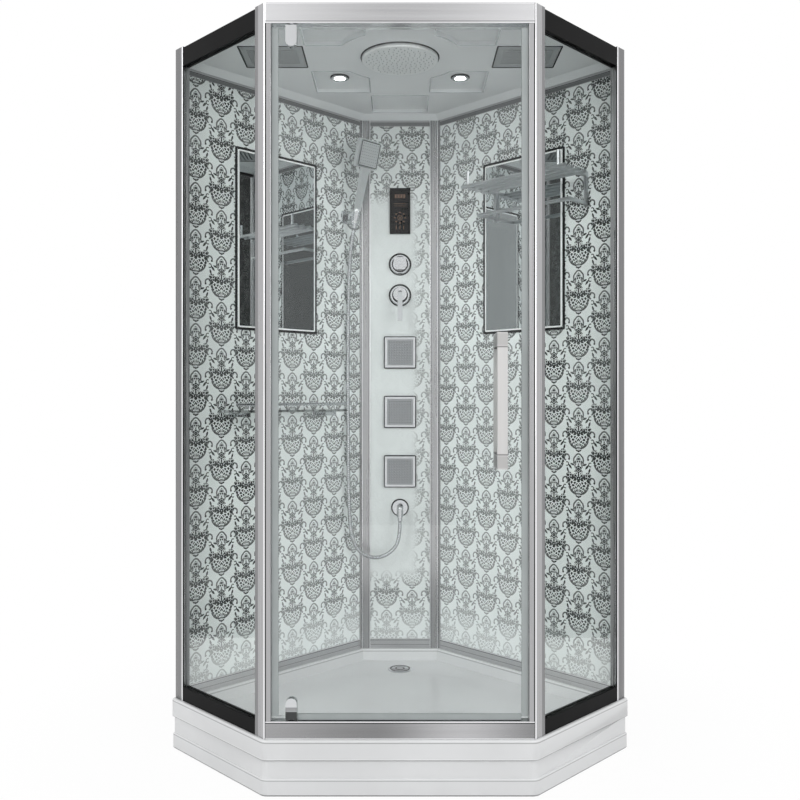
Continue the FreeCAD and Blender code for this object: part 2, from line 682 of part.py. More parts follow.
def make_apron():
    body = new_body("tray_apron")
    inner = "apron_inset + apron_wall"
    bands = (
        ("plinth_height - plinth_round", "lip_z", "apron_inset"),
        ("toe_height", "plinth_height", "0"),
        ("apron_gap", "toe_height", "toe_inset"),
    )
    for low, high, inset in bands:
        half = [front_corner(inset, inset), outer_corner("wall_edge_gap", inset),
                outer_corner("wall_edge_gap", inner), front_corner(inner, inner)]
        sketch = outline(new_sketch(body, "XY", low), [(f"-({x})", y) for x, y in half] + half[::-1])
        band = feature(body, "Pad", sketch, f"{high} - ({low})")
    band = dress(body, "Fillet", band, "corner_round", front_upright)
    top = value("plinth_height")

    def plinth_edge(edge):
        on_top = all(abs(vertex.Z - top) < TOUCH for vertex in edge.Vertexes)
        middle = edge.CenterOfMass
        ahead = middle.y - abs(middle.x) < value("front_y") - value("front_half") + NEAR
        in_front = middle.y < value("front_y") + NEAR
        return on_top and edge.Length > 2 * value("apron_wall") and (ahead or in_front)

    dress(body, "Fillet", band, "plinth_round", plinth_edge)
    keep(body)


def square_tube(name, start, length, axis):
    """Square tube of the support frame, open at both ends, under the tray."""
    half = "tube_size / 2"
    low = "lip_z - tube_size"
    inner = "tube_size - 2 * tube_wall"
    x, y = start
    if axis == "y":
        outside = box(name + "_out", (f"{x} - {half}", y, low), ("tube_size", length, "tube_size"))
        inside = box(name + "_in", (f"{x} - {half} + tube_wall", y, f"{low} + tube_wall"),
                     (inner, length, inner))
    else:
        outside = box(name + "_out", (x, f"{y} - {half}", low), (length, "tube_size", "tube_size"))
        inside = box(name + "_in", (x, f"{y} - {half} + tube_wall", f"{low} + tube_wall"),
                     (length, inner, inner))
    return cut(name, outside, inside)


def make_support():
    arm_start = "runner_x + tube_size / 2"
    tubes = []
    for index, side in enumerate(("", "-")):
        runner = ("-runner_x" if side else "runner_x", "front_y + runner_front")
        tubes.append(square_tube(f"runner_{index}", runner, "plan_depth - runner_front - runner_rear", "y"))
        arm = ("-arm_reach" if side else arm_start, "arm_y")
        tubes.append(square_tube(f"arm_{index}", arm, f"arm_reach - {arm_start}", "x"))
    for index, y in enumerate(("front_y + runner_front + tube_size / 2", "arm_y")):
        tie_bar = ("tube_size / 2 - runner_x", y)
        tubes.append(square_tube(f"tie_{index}", tie_bar, "2 * runner_x - tube_size", "x"))
    keep(group("support_frame", *tubes))

    spots = (("runner_x", "front_y + runner_front + foot_inset"), ("arm_reach - foot_inset", "arm_y"),
             ("runner_x", "rear_y - runner_rear - foot_inset"))
    feet = []
    for index, (x, y) in enumerate(spots + tuple((f"-({x})", y) for x, y in spots)):
        pad = rod(f"foot_pad_{index}", (x, y, "0"), "foot_radius", "foot_pad")
        collar = cone(f"foot_cone_{index}", (x, y, "foot_pad"), "foot_collar", "stud_radius", "foot_cone")
        stud = rod(f"foot_stud_{index}", (x, y, "foot_pad"), "stud_radius", "lip_z - tube_size - foot_pad")
        feet.append(fuse(f"foot_{index}", pad, collar, stud))
        hexagon = doc.addObject("Part::Prism", f"nut_out_{index}")
        hexagon.Polygon = 6
        bind(hexagon, Circumradius="nut_radius", Height="nut_height")
        place(hexagon, (x, y, "lip_z - tube_size - nut_height"))
        bore = rod(f"nut_in_{index}", (x, y, "lip_z - tube_size - nut_height"),
                   "stud_radius + pivot_fit", "nut_height")
        feet.append(cut(f"nut_{index}", hexagon, bore))
    keep(group("levelling_feet", *feet))


def make_drain():
    flange = rod("trap_flange_disc", ("0", "drain_y", "lip_z - trap_flange"), "trap_flange_radius",
                 "trap_flange")
    cup = rod("trap_cup", ("0", "drain_y", "trap_bottom_z"), "trap_radius", "lip_z - trap_bottom_z")
    spigot = rod("trap_spigot", ("0", "drain_y", "spigot_z"), "spigot_radius", "spigot_reach", "y")
    collar = rod("trap_collar", ("0", "drain_y", "spigot_z"), "spigot_radius + collar_step", "collar_reach",
                 "y")
    hollow = rod("trap_hollow", ("0", "drain_y", "trap_bottom_z + trap_wall"),
                 "trap_radius - trap_wall", "lip_z - trap_bottom_z")
    way_out = rod("trap_way_out", ("0", "drain_y", "spigot_z"), "spigot_radius - trap_wall", "spigot_reach",
                  "y")
    keep(cut("drain_trap", fuse("trap_outside", flange, cup, collar, spigot), hollow, way_out))

    body = new_body("drain_cover", ("0", "drain_y", "floor_z - drain_recess"))
    skirt = "drain_hole_radius - trap_wall"
    profile = [("0", "0"), (f"{skirt} - trap_wall", "0"), (f"{skirt} - trap_wall", "-trap_flange"),
               (skirt, "-trap_flange"), (skirt, "0"), ("drain_cover_radius", "0"),
               ("drain_cover_radius", "cover_height / 2"), ("drain_cover_radius - trap_flange",
                                                            "cover_height"),
               ("0", "cover_height")]
    revolve(body, outline(new_sketch(body, "XZ"), profile))
    keep(body)


# Posts, rails and clear glass of the front and sides
def make_posts():
    def side_point(along, inward):
        return spot(SIDE, along, inward)

    ridge = front_corner("frame_inset", "frame_inset")
    points = [
        ridge,
        side_point("side_start", "frame_inset"),
        side_point("side_start", "slot_near"),
        side_point("side_start - slot_depth", "slot_near"),
        side_point("side_start - slot_depth", "slot_far"),
        side_point("side_start", "slot_far"),
        side_point("side_start", "frame_back"),
        front_corner("frame_back", "frame_back"),
        ("ridge_x - front_post_front", "front_y + frame_back"),
        ("ridge_x - front_post_front", "ridge_y"),
    ]
    body = new_body("right_front_post")
    feature(body, "Pad", outline(new_sketch(body, "XY", "tray_height"), points),
            "total_height - tray_height")
    notch = rectangle("ridge_x - front_post_front", "ridge_y", "ridge_x - rail_end_gap",
                      "front_y + frame_back")
    for top, depth in (("total_height", "header_height"), ("threshold_z", "threshold_height")):
        feature(body, "Pocket", outline(new_sketch(body, "XY", top), notch), depth)
    keep_pair(body, "right")

    wall_slot = "short_side - wall_face - slot_clearance"
    wall_slot_end = "short_side - panel_back + slot_clearance"
    post_end = "short_side - wall_edge_gap"
    points = [
        ("side_end", "frame_inset"),
        (post_end, "frame_inset"),
        (post_end, "frame_back"),
        (wall_slot_end, "frame_back"),
        (wall_slot_end, "frame_back - slot_depth"),
        (wall_slot, "frame_back - slot_depth"),
        (wall_slot, "frame_back"),
        ("side_end", "frame_back"),
        ("side_end", "slot_far"),
        ("side_end + slot_depth", "slot_far"),
        ("side_end + slot_depth", "slot_near"),
        ("side_end", "slot_near"),
    ]
    body = new_body("right_outer_post", frame=SIDE)
    feature(body, "Pad", outline(new_sketch(body, "XY", "tray_height"), points),
            "total_height - tray_height")
    keep_pair(body, "right")


def make_side_panels():
    length = "side_end - side_start"
    near = "frame_inset + rail_inset"
    width = "post_depth - 2 * rail_inset"
    slot = "slot_far - slot_near"
    top_low = "total_height - side_rail_drop - side_top_height"
    bottom_top = "tray_height + side_bottom_height"
    rails = (
        ("right_top_rail", top_low, "side_top_height", top_low),
        ("right_bottom_rail", "tray_height", "side_bottom_height", f"{bottom_top} - slot_depth"),
    )
    for name, low, height, slot_low in rails:
        bar = box(name + "_bar", ("side_start", near, low), (length, width, height), SIDE)
        groove = box(name + "_groove", ("side_start", "slot_near", slot_low), (length, slot, "slot_depth"),
                     SIDE)
        keep_pair(cut(name, bar, groove), "right")
    pane_start = "side_start - slot_depth + slot_end_gap"
    pane_low = f"{bottom_top} - slot_depth"
    pane = box("right_side_glass", (pane_start, "slot_near + slot_clearance", pane_low),
               (f"{length} + 2 * slot_depth - 2 * slot_end_gap", "glass_thickness",
                f"{top_low} + slot_depth - slot_end_gap - ({pane_low})"), SIDE)
    keep_pair(pane, "right")


def make_door_rails():
    half = "ridge_x - rail_end_gap"
    inner = "post_depth - 2 * rail_wall"
    bore = "pivot_radius + pivot_fit"
    rails = (
        ("door_header", "header_z", "header_height", "header_z - rail_wall"),
        ("door_threshold", "tray_height", "threshold_height", "threshold_z - pivot_reach - rail_wall"),
    )
    for name, low, height, bore_low in rails:
        bar = box(name + "_bar", (f"-({half})", "ridge_y", low), (f"2 * ({half})", "post_depth", height))
        hollow = box(name + "_hollow", (f"-({half})", "ridge_y + rail_wall", f"{low} + pivot_reach"),
                     (f"2 * ({half})", inner, f"{height} - 2 * pivot_reach"))
        hole = rod(name + "_hole", ("pivot_x", "door_middle", bore_low), bore,
                   "pivot_reach + 2 * rail_wall")
        keep(cut(name, bar, hollow, hole))


# Printed glass walls, the channels that hold them and the column across the corner
def make_walls():
    start = "corner_along + corner_gap"
    panel = box("left_wall_panel", (start, "panel_back", "panel_low"),
                (f"wall_end + slot_depth - slot_end_gap - ({start})", "glass_thickness",
                 "panel_high - panel_low"),
                WALL)
    keep_pair(panel, "left")

    slot = "glass_thickness + 2 * slot_clearance"
    width = "channel_front + glass_thickness + channel_back"
    kinds = (
        ("wall_base_channels", "tray_height", "base_channel_height", "panel_low"),
        ("wall_top_channels", "wall_top - top_channel_height", "top_channel_height",
         "wall_top - top_channel_height - channel_floor"),
    )
    wall_start = "corner_along + wall_flange + channel_end_gap"
    wall_length = f"wall_end - ({wall_start})"
    half = "column_half - column_flange - channel_end_gap"
    for name, low, height, groove_low in kinds:
        bar = box(name + "_bar", (wall_start, "panel_back - channel_back", low),
                  (wall_length, width, height), WALL)
        groove = box(name + "_groove", (wall_start, "panel_back - slot_clearance", groove_low),
                     (wall_length, slot, height), WALL)
        left = cut(name + "_left", bar, groove)
        bar = box(name + "_mid_bar", (f"-({half})", "column_y - channel_front", low),
                  (f"2 * ({half})", width, height))
        groove = box(name + "_mid_groove", (f"-({half})", "column_y - slot_clearance", groove_low),
                     (f"2 * ({half})", slot, height))
        keep(group(name, left, mirror(name + "_right", left), cut(name + "_mid", bar, groove)))

    back = "corner_plate"
    points = [
        ("column_half", "column_y"),
        ("column_half + wall_flange / sqrt(2)", "column_y - wall_flange / sqrt(2)"),
        (f"column_half + (wall_flange - {back}) / sqrt(2)", f"column_y - (wall_flange + {back}) / sqrt(2)"),
        (f"column_half + {back} - sqrt(2) * {back}", f"column_y - {back}"),
        ("column_half - column_flange", f"column_y - {back}"),
        ("column_half - column_flange", "column_y"),
    ]
    body = new_body("right_corner_profile")
    feature(body, "Pad", outline(new_sketch(body, "XY", "tray_height"), points), "wall_top - tray_height")
    keep_pair(body, "right")


def jet_heights():
    return [f"jet_top_z - {index} * jet_pitch" for index in range(3)]


def make_column():
    body = new_body("column_panel", frame=COLUMN_FRONT)
    sketch = new_sketch(body, "XZ")
    half = "column_half - corner_gap"
    outline(sketch, rectangle(f"-({half})", "panel_low", half, "panel_high"))
    circle(sketch, ("0", "display_z"), "gland_radius")
    for z in ("diverter_z", "mixer_z"):
        circle(sketch, ("0", z), "neck_radius + neck_gap")
    for z in jet_heights():
        circle(sketch, ("0", z), "jet_body_radius + neck_gap")
    circle(sketch, ("0", "elbow_z"), "elbow_radius + neck_gap")
    feature(body, "Pad", sketch, "glass_thickness", Reversed=True)
    keep(body)


# Controls on the column
def make_controls():
    body = new_body("control_display", ("0", "0", "display_z"), COLUMN_FRONT)
    half_x = "display_width / 2"
    half_z = "display_height / 2"
    sketch = outline(new_sketch(body, "XZ"), rectangle(f"-{half_x}", f"-{half_z}", half_x, half_z))
    face = feature(body, "Pad", sketch, "display_depth")
    front = -value("display_depth")
    dress(body, "Chamfer", face, "display_bevel",
          lambda edge: all(abs(vertex.Y - front) < TOUCH for vertex in edge.Vertexes))
    keep(body)

    behind = "column_y + glass_thickness"
    box_low = "display_z - box_height / 2"
    case = box("control_case", ("-box_width / 2", behind, box_low),
               ("box_width", "box_depth", "box_height"))
    gland_z = f"{box_low} - gland_length"
    gland = rod("control_gland", ("0", f"{behind} + box_depth / 2", gland_z),
                "gland_radius + gland_wall", "gland_length")
    way = rod("control_way", ("0", f"{behind} + box_depth / 2", gland_z), "gland_radius",
              "gland_length + gland_wall")
    keep(cut("control_box", fuse("control_outside", case, gland), way))


def make_valves():
    plates = []
    for name, z in (("diverter_plate", "diverter_z"), ("mixer_plate", "mixer_z")):
        body = new_body(name, ("0", "0", z), COLUMN_FRONT)
        bore = "spindle_radius + running_gap"
        profile = [(bore, "0"), ("plate_radius", "0"), ("plate_radius", "-plate_edge"),
                   ("plate_radius - plate_depth / 2", "-plate_depth"), (bore, "-plate_depth")]
        revolve(body, outline(new_sketch(body, "XY"), profile))
        plates.append(body)
    keep(group("valve_escutcheons", *plates))

    tail = "-glass_thickness - valve_gap / 2"
    front = "plate_depth + running_gap"
    spindle = rod("knob_spindle", ("0", tail, "diverter_z"), "spindle_radius", f"{front} - ({tail})", "y",
                  COLUMN)
    body = new_body("knob_grip", ("0", "0", "diverter_z"), COLUMN_FRONT)
    half = "knob_size / 2"
    sketch = outline(new_sketch(body, "XZ", front), rectangle(f"-{half}", f"-{half}", half, half))
    grip = feature(body, "Pad", sketch, "knob_depth")
    dress(body, "Fillet", grip, "knob_round", lambda edge: runs_along(edge, Vector(0, 1, 0)))
    keep(fuse("diverter_knob", spindle, body))

    spindle = rod("drum_spindle", ("0", tail, "mixer_z"), "spindle_radius", f"{front} - ({tail})", "y",
                  COLUMN)
    drum = rod("drum_round", ("0", front, "mixer_z"), "drum_radius", "drum_depth", "y", COLUMN)
    slot = "tongue_width + 2 * running_gap"
    slot_z = "mixer_z - pin_setback"
    slot_deep = "2 * pin_setback - running_gap"
    groove = box("drum_groove", (f"-({slot}) / 2", f"drum_front - ({slot_deep})", slot_z),
                 (slot, slot_deep, "groove_height"), COLUMN)
    pin = rod("drum_pin", (f"-({slot}) / 2", "drum_front - pin_setback", "mixer_z"), "lever_pin_radius",
              slot,
              "x", COLUMN)
    keep(fuse("mixer_drum", cut("drum_cut", fuse("drum_whole", spindle, drum), groove), pin))

    bar_y = "drum_front + lever_gap"
    bar = box("lever_bar", ("-lever_width / 2", bar_y, "mixer_z - lever_length"),
              ("lever_width", "lever_thickness", "lever_length + lever_top"), COLUMN)
    eye = rod("lever_eye", ("-tongue_width / 2", "drum_front - pin_setback", "mixer_z"),
              "lever_top", "tongue_width", "x", COLUMN)
    tongue = box("lever_tongue", ("-tongue_width / 2", "drum_front - pin_setback", "mixer_z - lever_top"),
                 ("tongue_width", "pin_setback + lever_gap", "2 * lever_top"), COLUMN)
    hole = rod("lever_hole", ("-tongue_width / 2", "drum_front - pin_setback", "mixer_z"),
               "lever_pin_radius + pivot_fit", "tongue_width", "x", COLUMN)
    keep(cut("mixer_lever", fuse("lever_whole", bar, eye, tongue), hole))


def make_plumbing():
    block_y = "column_y + valve_front"
    block = box("valve_block", ("-valve_width / 2", block_y, "valve_low"),
                ("valve_width", "valve_depth", "valve_high - valve_low"))
    necks = []
    bores = []
    for name, z in (("diverter", "diverter_z"), ("mixer", "mixer_z")):
        necks.append(rod(name + "_neck", ("0", "column_y", z), "neck_radius", "valve_front", "y"))
        bores.append(rod(name + "_bore", ("0", "column_y", z), "spindle_radius + spindle_fit",
                         "valve_front", "y"))
    inlets = [rod(f"inlet_{side}", (x, f"{block_y} + inlet_setback", "valve_low - inlet_length"),
                  "inlet_radius", "inlet_length")
              for side, x in (("hot", "-inlet_x"), ("cold", "inlet_x"))]
    keep(cut("valve_body", fuse("valve_whole", block, *necks, *inlets), *bores))

    jet_tail = "column_y + glass_thickness + jet_body_length"
    feed = rod("feed_pipe", ("0", "pipe_y", "elbow_z - feed_tail"), "feed_radius",
               "valve_low - elbow_z + feed_tail")
    branches = [rod(f"branch_{index}", ("0", jet_tail, z), "pipe_radius", f"pipe_y - ({jet_tail})", "y")
                for index, z in enumerate(jet_heights())]
    elbow_tail = "column_y + glass_thickness + valve_gap"
    branches.append(rod("branch_hose", ("0", elbow_tail, "elbow_z"), "pipe_radius",
                        f"pipe_y - ({elbow_tail})", "y"))
    pieces = [fuse("water_manifold", feed, *branches)]
    for index, z in enumerate(jet_heights()):
        shell = rod(f"jet_shell_{index}", ("0", "column_y", z), "jet_body_radius",
                    "glass_thickness + jet_body_length", "y")
        bore = rod(f"jet_bore_{index}", ("0", "column_y", z), "jet_bore",
                   "glass_thickness + jet_body_length - jet_back", "y")
        pieces.append(cut(f"jet_body_{index}", shell, bore))
    pieces.append(rod("riser_pipe", ("0", "pipe_y", "valve_high"), "pipe_radius", "roof_top - valve_high"))
    half = "block_size / 2"
    pieces.append(box("riser_block", (f"-{half}", f"pipe_y - {half}", "roof_top"),
                      ("block_size", "block_size", "block_height")))
    pieces.append(rod("roof_pipe", ("0", f"rain_y + {half}", "pipe_z"), "pipe_radius",
                      "pipe_y - rain_y - block_size", "y"))
    keep(group("water_pipes", *pieces))


def make_jets():
    frames = []
    for index, z in enumerate(jet_heights(), start=1):
        half = "jet_size / 2"
        block = box(f"jet_block_{index}", (f"-{half}", "0", f"{z} - {half}"),
                    ("jet_size", "jet_depth", "jet_size"), COLUMN)
        window = "jet_size - 2 * jet_rim"
        recess = box(f"jet_recess_{index}", (f"-({window}) / 2", "jet_back", f"{z} - ({window}) / 2"),
                     (window, "jet_depth", window), COLUMN)
        seat = rod(f"jet_seat_{index}", ("0", "0", z),
                   "sqrt(pow(jet_ball + running_gap; 2) - pow(jet_pivot; 2))",
                   "jet_depth", "y", COLUMN)
        frames.append(cut(f"jet_frame_{index}", block, recess, seat))
        width = f"{window} - 2 * jet_play"
        plate = box(f"jet_plate_flat_{index}",
                    (f"-({width}) / 2", "jet_plane - jet_plate / 2", f"{z} - ({width}) / 2"),
                    (width, "jet_plate", width), COLUMN)
        knuckle = ball(f"jet_ball_{index}", ("0", "jet_plane", z), "jet_ball", COLUMN)
        front = rod(f"jet_trim_{index}", ("0", "jet_plane + jet_plate / 2", z), "jet_ball", "jet_ball", "y",
                    COLUMN)
        keep(cut(f"jet_plate_{index}", fuse(f"jet_plate_whole_{index}", plate, knuckle), front))
    keep(group("jet_frames", *frames))


# Hose, hand shower and their holder
def make_elbow():
    tail = "-glass_thickness - valve_gap"
    plate = rod("elbow_disc", ("0", "0", "elbow_z"), "elbow_plate_radius", "elbow_plate", "y", COLUMN)
    arm = rod("elbow_arm", ("0", tail, "elbow_z"), "elbow_radius", f"elbow_reach - ({tail})", "y", COLUMN)
    knee = ball("elbow_knee", ("0", "elbow_reach", "elbow_z"), "elbow_radius", COLUMN)
    leg = rod("elbow_leg", ("0", "elbow_reach", "elbow_z - elbow_drop"), "elbow_radius", "elbow_drop", "z",
              COLUMN)
    ferrule = rod("elbow_ferrule", ("0", "elbow_reach", "elbow_z - elbow_drop - ferrule_length"),
                  "ferrule_radius", "ferrule_length", "z", COLUMN)
    keep(fuse("hose_elbow", plate, arm, knee, leg, ferrule))


def lean_turn():
    return Rotation(Vector(1, 0, 0), -value("handset_lean"))


def on_lean(along_axis):
    """Place on the handset's leaning axis, measured up it from the middle of the socket."""
    inward = f"holder_in + ({along_axis}) * sin(handset_lean)"
    up = f"holder_z + ({along_axis}) * cos(handset_lean)"
    return "holder_spot", inward, up


def lean_cone(name, low, high, extra):
    """Cone on the leaning axis that follows the flare of the handset's end."""
    thing = doc.addObject("Part::Cone", name)
    first = f"cone_radius + ({low}) * cone_flare + {extra}"
    last = f"cone_radius + ({high}) * cone_flare + {extra}"
    bind(thing, Radius1=first, Radius2=last, Height=f"{high} - ({low})")
    return place(thing, on_lean(low), WALL, lean_turn())


def make_handset():
    low = "-holder_length / 2"
    high = "holder_length / 2"
    outside = lean_cone("holder_outside", low, high, "socket_gap + holder_wall")
    inside = lean_cone("holder_inside", "-holder_length", "holder_length", "socket_gap")
    half = "holder_plate / 2"
    plate = box("holder_wall_plate", (f"holder_spot - {half}", "wall_face", f"holder_z - {half}"),
                ("holder_plate", "holder_plate_depth", "holder_plate"), WALL)
    arm = box("holder_bar", ("holder_spot - holder_arm / 2", "wall_face", "holder_z - holder_arm / 2"),
              ("holder_arm", "holder_reach", "holder_arm"), WALL)
    keep(cut("handset_holder", fuse("holder_whole", outside, plate, arm), inside))

    body = new_body("hand_shower", on_lean("0"), WALL, lean_turn())
    right = [("grip_width / 2", "cone_half"), ("neck_width / 2", "grip_top"),
             ("head_width / 2", "grip_top"),
             ("head_width / 2", "handset_top")]
    sketch = outline(new_sketch(body, "XZ"), both_sides(right))
    shell = feature(body, "Pad", sketch, "handset_thickness", Midplane=True)
    reach = value("head_width") / 2 - NEAR
    shell = dress(body, "Fillet", shell, "head_round",
                  lambda edge: runs_along(edge, Vector(0, 1, 0)) and abs(edge.CenterOfMass.x) > reach)
    profile = [("0", "-cone_half"), ("cone_radius - cone_half * cone_flare", "-cone_half"),
               ("cone_radius + cone_half * cone_flare", "cone_half"), ("0", "cone_half")]
    revolve(body, outline(new_sketch(body, "XZ"), profile))
    keep(body)

    body = new_body("spray_plate", on_lean("0"), WALL, lean_turn())
    half = "head_width / 2 - spray_margin"
    area = rectangle(f"-({half})", "grip_top + spray_margin", half, "handset_top - spray_margin")
    sketch = outline(new_sketch(body, "XZ", "-handset_thickness / 2"), area)
    feature(body, "Pad", sketch, "spray_thickness", Reversed=True)
    keep(body)

    nut = doc.addObject("Part::Cone", "hose_cone")
    bind(nut, Radius1="nut_tip", Radius2="cone_radius - cone_half * cone_flare", Height="nut_length")
    keep(place(nut, on_lean("-hose_end"), WALL, lean_turn()))


# Route of the hose between its two ends, chosen by hand: across, before the column and above the elbow
HOSE_ROUTE = [
    (-1, 42.7, -86),
    (-10, 46.7, -132),
    (-45, 55.7, -166),
    (-95, 65.7, -178),
    (-146, 74.7, -156),
    (-175, 79.7, -104),
    (-183, 79.7, -33),
    (-187, 76.7, 97),
    (-189, 72.7, 287),
    (-190, 70.2, 487),
    (-189, 68.7, 687),
    (-185.5, 68.7, 852),
]
BEND_SHARE = 0.45
RIB_SHARES = (0.15, 0.35, 0.65, 0.85)


def hose_ends():
    """Where the hose leaves the elbow and the handset, and the run along the handset's axis."""
    ferrule_end = value("elbow_z") - value("elbow_drop") - value("ferrule_length")
    start = Vector(0, value("column_y") - value("elbow_reach"), ferrule_end)
    lean = math.radians(value("handset_lean"))
    across = math.sqrt(0.5)
    axis = Vector(math.sin(lean) * across, -math.sin(lean) * across, math.cos(lean))
    inward = value("holder_in")
    along = value("holder_spot")
    middle = Vector((inward - along) * across, value("rear_y") - (inward + along) * across,
                    value("holder_z"))
    end = middle - axis * value("hose_end")
    return start, end - axis * value("hose_lead"), end


def rounded_route(points):
    """Straight runs and tangent arcs through a route: the wire, its radii and its length."""
    edges = []
    radii = []
    here = points[0]
    for before, corner, after in zip(points, points[1:], points[2:]):
        first = corner - before
        second = after - corner
        turn = first.getAngle(second)
        set_back = BEND_SHARE * min(first.Length, second.Length)
        radii.append(set_back / math.tan(turn / 2))
        first.normalize()
        second.normalize()
        arc_start = corner - first * set_back
        arc_end = corner + second * set_back
        inner = second - first
        inner.normalize()
        depth = radii[-1] / math.cos(turn / 2) - radii[-1]
        edges.append(Part.LineSegment(here, arc_start).toShape())
        edges.append(Part.Arc(arc_start, corner + inner * depth, arc_end).toShape())
        here = arc_end
    edges.append(Part.LineSegment(here, points[-1]).toShape())
    return edges, radii


def rings_along(edges, stations):
    """Circles square to a route at distances along it, with a steady X axis."""
    steady = Vector(0, 1, 0)
    wires = []
    passed = 0.0
    left = list(edges)
    for distance, radius in stations:
        while distance > passed + left[0].Length + TOUCH and len(left) > 1:
            passed += left.pop(0).Length
        parameter = left[0].getParameterByLength(min(distance - passed, left[0].Length))
        point = left[0].valueAt(parameter)
        ahead = left[0].tangentAt(parameter)
        sideways = steady - ahead * steady.dot(ahead)
        turn = Rotation(sideways, ahead.cross(sideways), ahead, "ZXY")
        wire = Part.Wire(Part.makeCircle(radius))
        wire.Placement = Placement(point, turn)
        wires.append(wire)
    return wires


def make_hose():
    start, bend, end = hose_ends()
    column_y = value("column_y")
    elbow_z = value("elbow_z")
    between = [Vector(x, column_y - before, elbow_z + above) for x, before, above in HOSE_ROUTE]
    points = [start, *between, bend, end]
    edges, radii = rounded_route(points)
    length = sum(edge.Length for edge in edges)
    print("hose length", round(length, 1), "radii", [round(radius) for radius in radii])
    crest = value("hose_radius")
    root = value("hose_root")
    plain = 2 * crest
    ribs = int(value("hose_ribs"))
    pitch = (length - 2 * plain) / ribs
    profile = list(zip(RIB_SHARES, (root, crest, crest, root)))
    stations = [(plain + (rib + share) * pitch, radius) for rib in range(ribs) for share, radius in profile]
    stations = [(0.0, root), (plain, root)] + stations + [(length - plain, root), (length, root)]
    bore = value("hose_bore")
    outer = rings_along(edges, stations)
    inner = rings_along(edges, [(distance, bore) for distance, _ in stations])
    skins = Part.makeLoft(outer, False, True).Faces + Part.makeLoft(inner, False, True).Faces
    caps = [Part.makeFace([outer[index], inner[index]], "Part::FaceMakerBullseye") for index in (0, -1)]
    shell = Part.makeShell(skins + caps)
    shell.sewShape()
    solid = Part.makeSolid(Part.Shell(shell.Faces))
    if solid.Volume < 0:
        solid.reverse()
    mean = sum(math.pi * (radius ** 2 - bore ** 2) for _, radius in stations) / len(stations)
    print("hose volume", round(solid.Volume), "section times length", round(mean * length))
    thing = doc.addObject("Part::Feature", "shower_hose")
    thing.Shape = solid
    keep(thing)


# Mirrors, shelf and towel rack on the walls
def make_wall_fittings():
    along = "corner_along + mirror_start"
    body = new_body("left_mirror", ("0", "wall_face", "0"), WALL)
    area = rectangle(along, "mirror_z", f"{along} + mirror_width", "mirror_z + mirror_height")
    plate = feature(body, "Pad", outline(new_sketch(body, "XZ"), area), "mirror_thickness", Reversed=True)
    front = value("mirror_thickness")
    dress(body, "Chamfer", plate, "mirror_bevel",
          lambda edge: all(abs(vertex.Y - front) < TOUCH for vertex in edge.Vertexes))
    keep_pair(body, "left")

    start = "corner_along + shelf_start"
    keep(box("glass_shelf", (start, "wall_face", "shelf_z"),
             ("shelf_length", "shelf_depth", "shelf_thickness"), WALL))
    rail_in = "wall_face + shelf_depth - 2 * shelf_rod"
    rail_z = "shelf_top + shelf_rail_rise"
    rail = [rod("shelf_rail", (start, rail_in, rail_z), "shelf_rod", "shelf_length", "x", WALL)]
    brackets = []
    for index, end in enumerate(("shelf_arm_inset", "shelf_length - shelf_arm_inset - shelf_arm")):
        place_along = f"{start} + {end}"
        brackets.append(box(f"shelf_arm_{index}", (place_along, "wall_face", "shelf_z - shelf_arm"),
                            ("shelf_arm", "shelf_depth - shelf_arm", "shelf_arm"), WALL))
        rail.append(rod(f"shelf_stub_{index}", (f"{place_along} + shelf_arm / 2", rail_in, "shelf_top"),
                        "shelf_stub", "shelf_rail_rise", "z", WALL))
    keep(group("shelf_fittings", fuse("shelf_guard", *rail), *brackets))

    start = "corner_along + rack_start"
    whole = "rack_length + 2 * rack_overhang"
    out = "wall_face + rack_depth"
    bars = [rod(f"rack_bar_{index}",
                (f"{start} - rack_overhang", f"{out} - {index} * rack_pitch", "rack_z"),
                "rack_rod", whole, "x", WALL) for index in range(int(value("rack_bars")))]
    bars.append(rod("rack_hanger", (start, "wall_face + hanger_depth", "rack_z - hanger_drop"),
                    "rack_rod", "rack_length", "x", WALL))
    ends = ((start, "wall_face + mirror_thickness"), (f"{start} + rack_length - rack_bracket", "wall_face"))
    for index, (end, seat) in enumerate(ends):
        bars.append(box(f"rack_foot_{index}", (end, seat, "rack_z - hanger_drop - rack_bracket"),
                        ("rack_bracket", "rack_bracket", "hanger_drop + 2 * rack_bracket"), WALL))
        bars.append(box(f"rack_arm_{index}", (end, seat, "rack_z - rack_bracket / 2"),
                        ("rack_bracket", f"{out} - ({seat})", "rack_bracket"), WALL))
        bars.append(box(f"rack_low_arm_{index}", (end, seat, "rack_z - hanger_drop - rack_bracket / 2"),
                        ("rack_bracket", f"wall_face + hanger_depth - ({seat})", "rack_bracket"), WALL))
        bars.append(rod(f"rack_upright_{index}", (f"{end} + rack_bracket / 2", out, "rack_z"),
                        "upright_rod", "rack_upright", "z", WALL))
    keep(mirror("towel_rack", fuse("left_rack", *bars)))


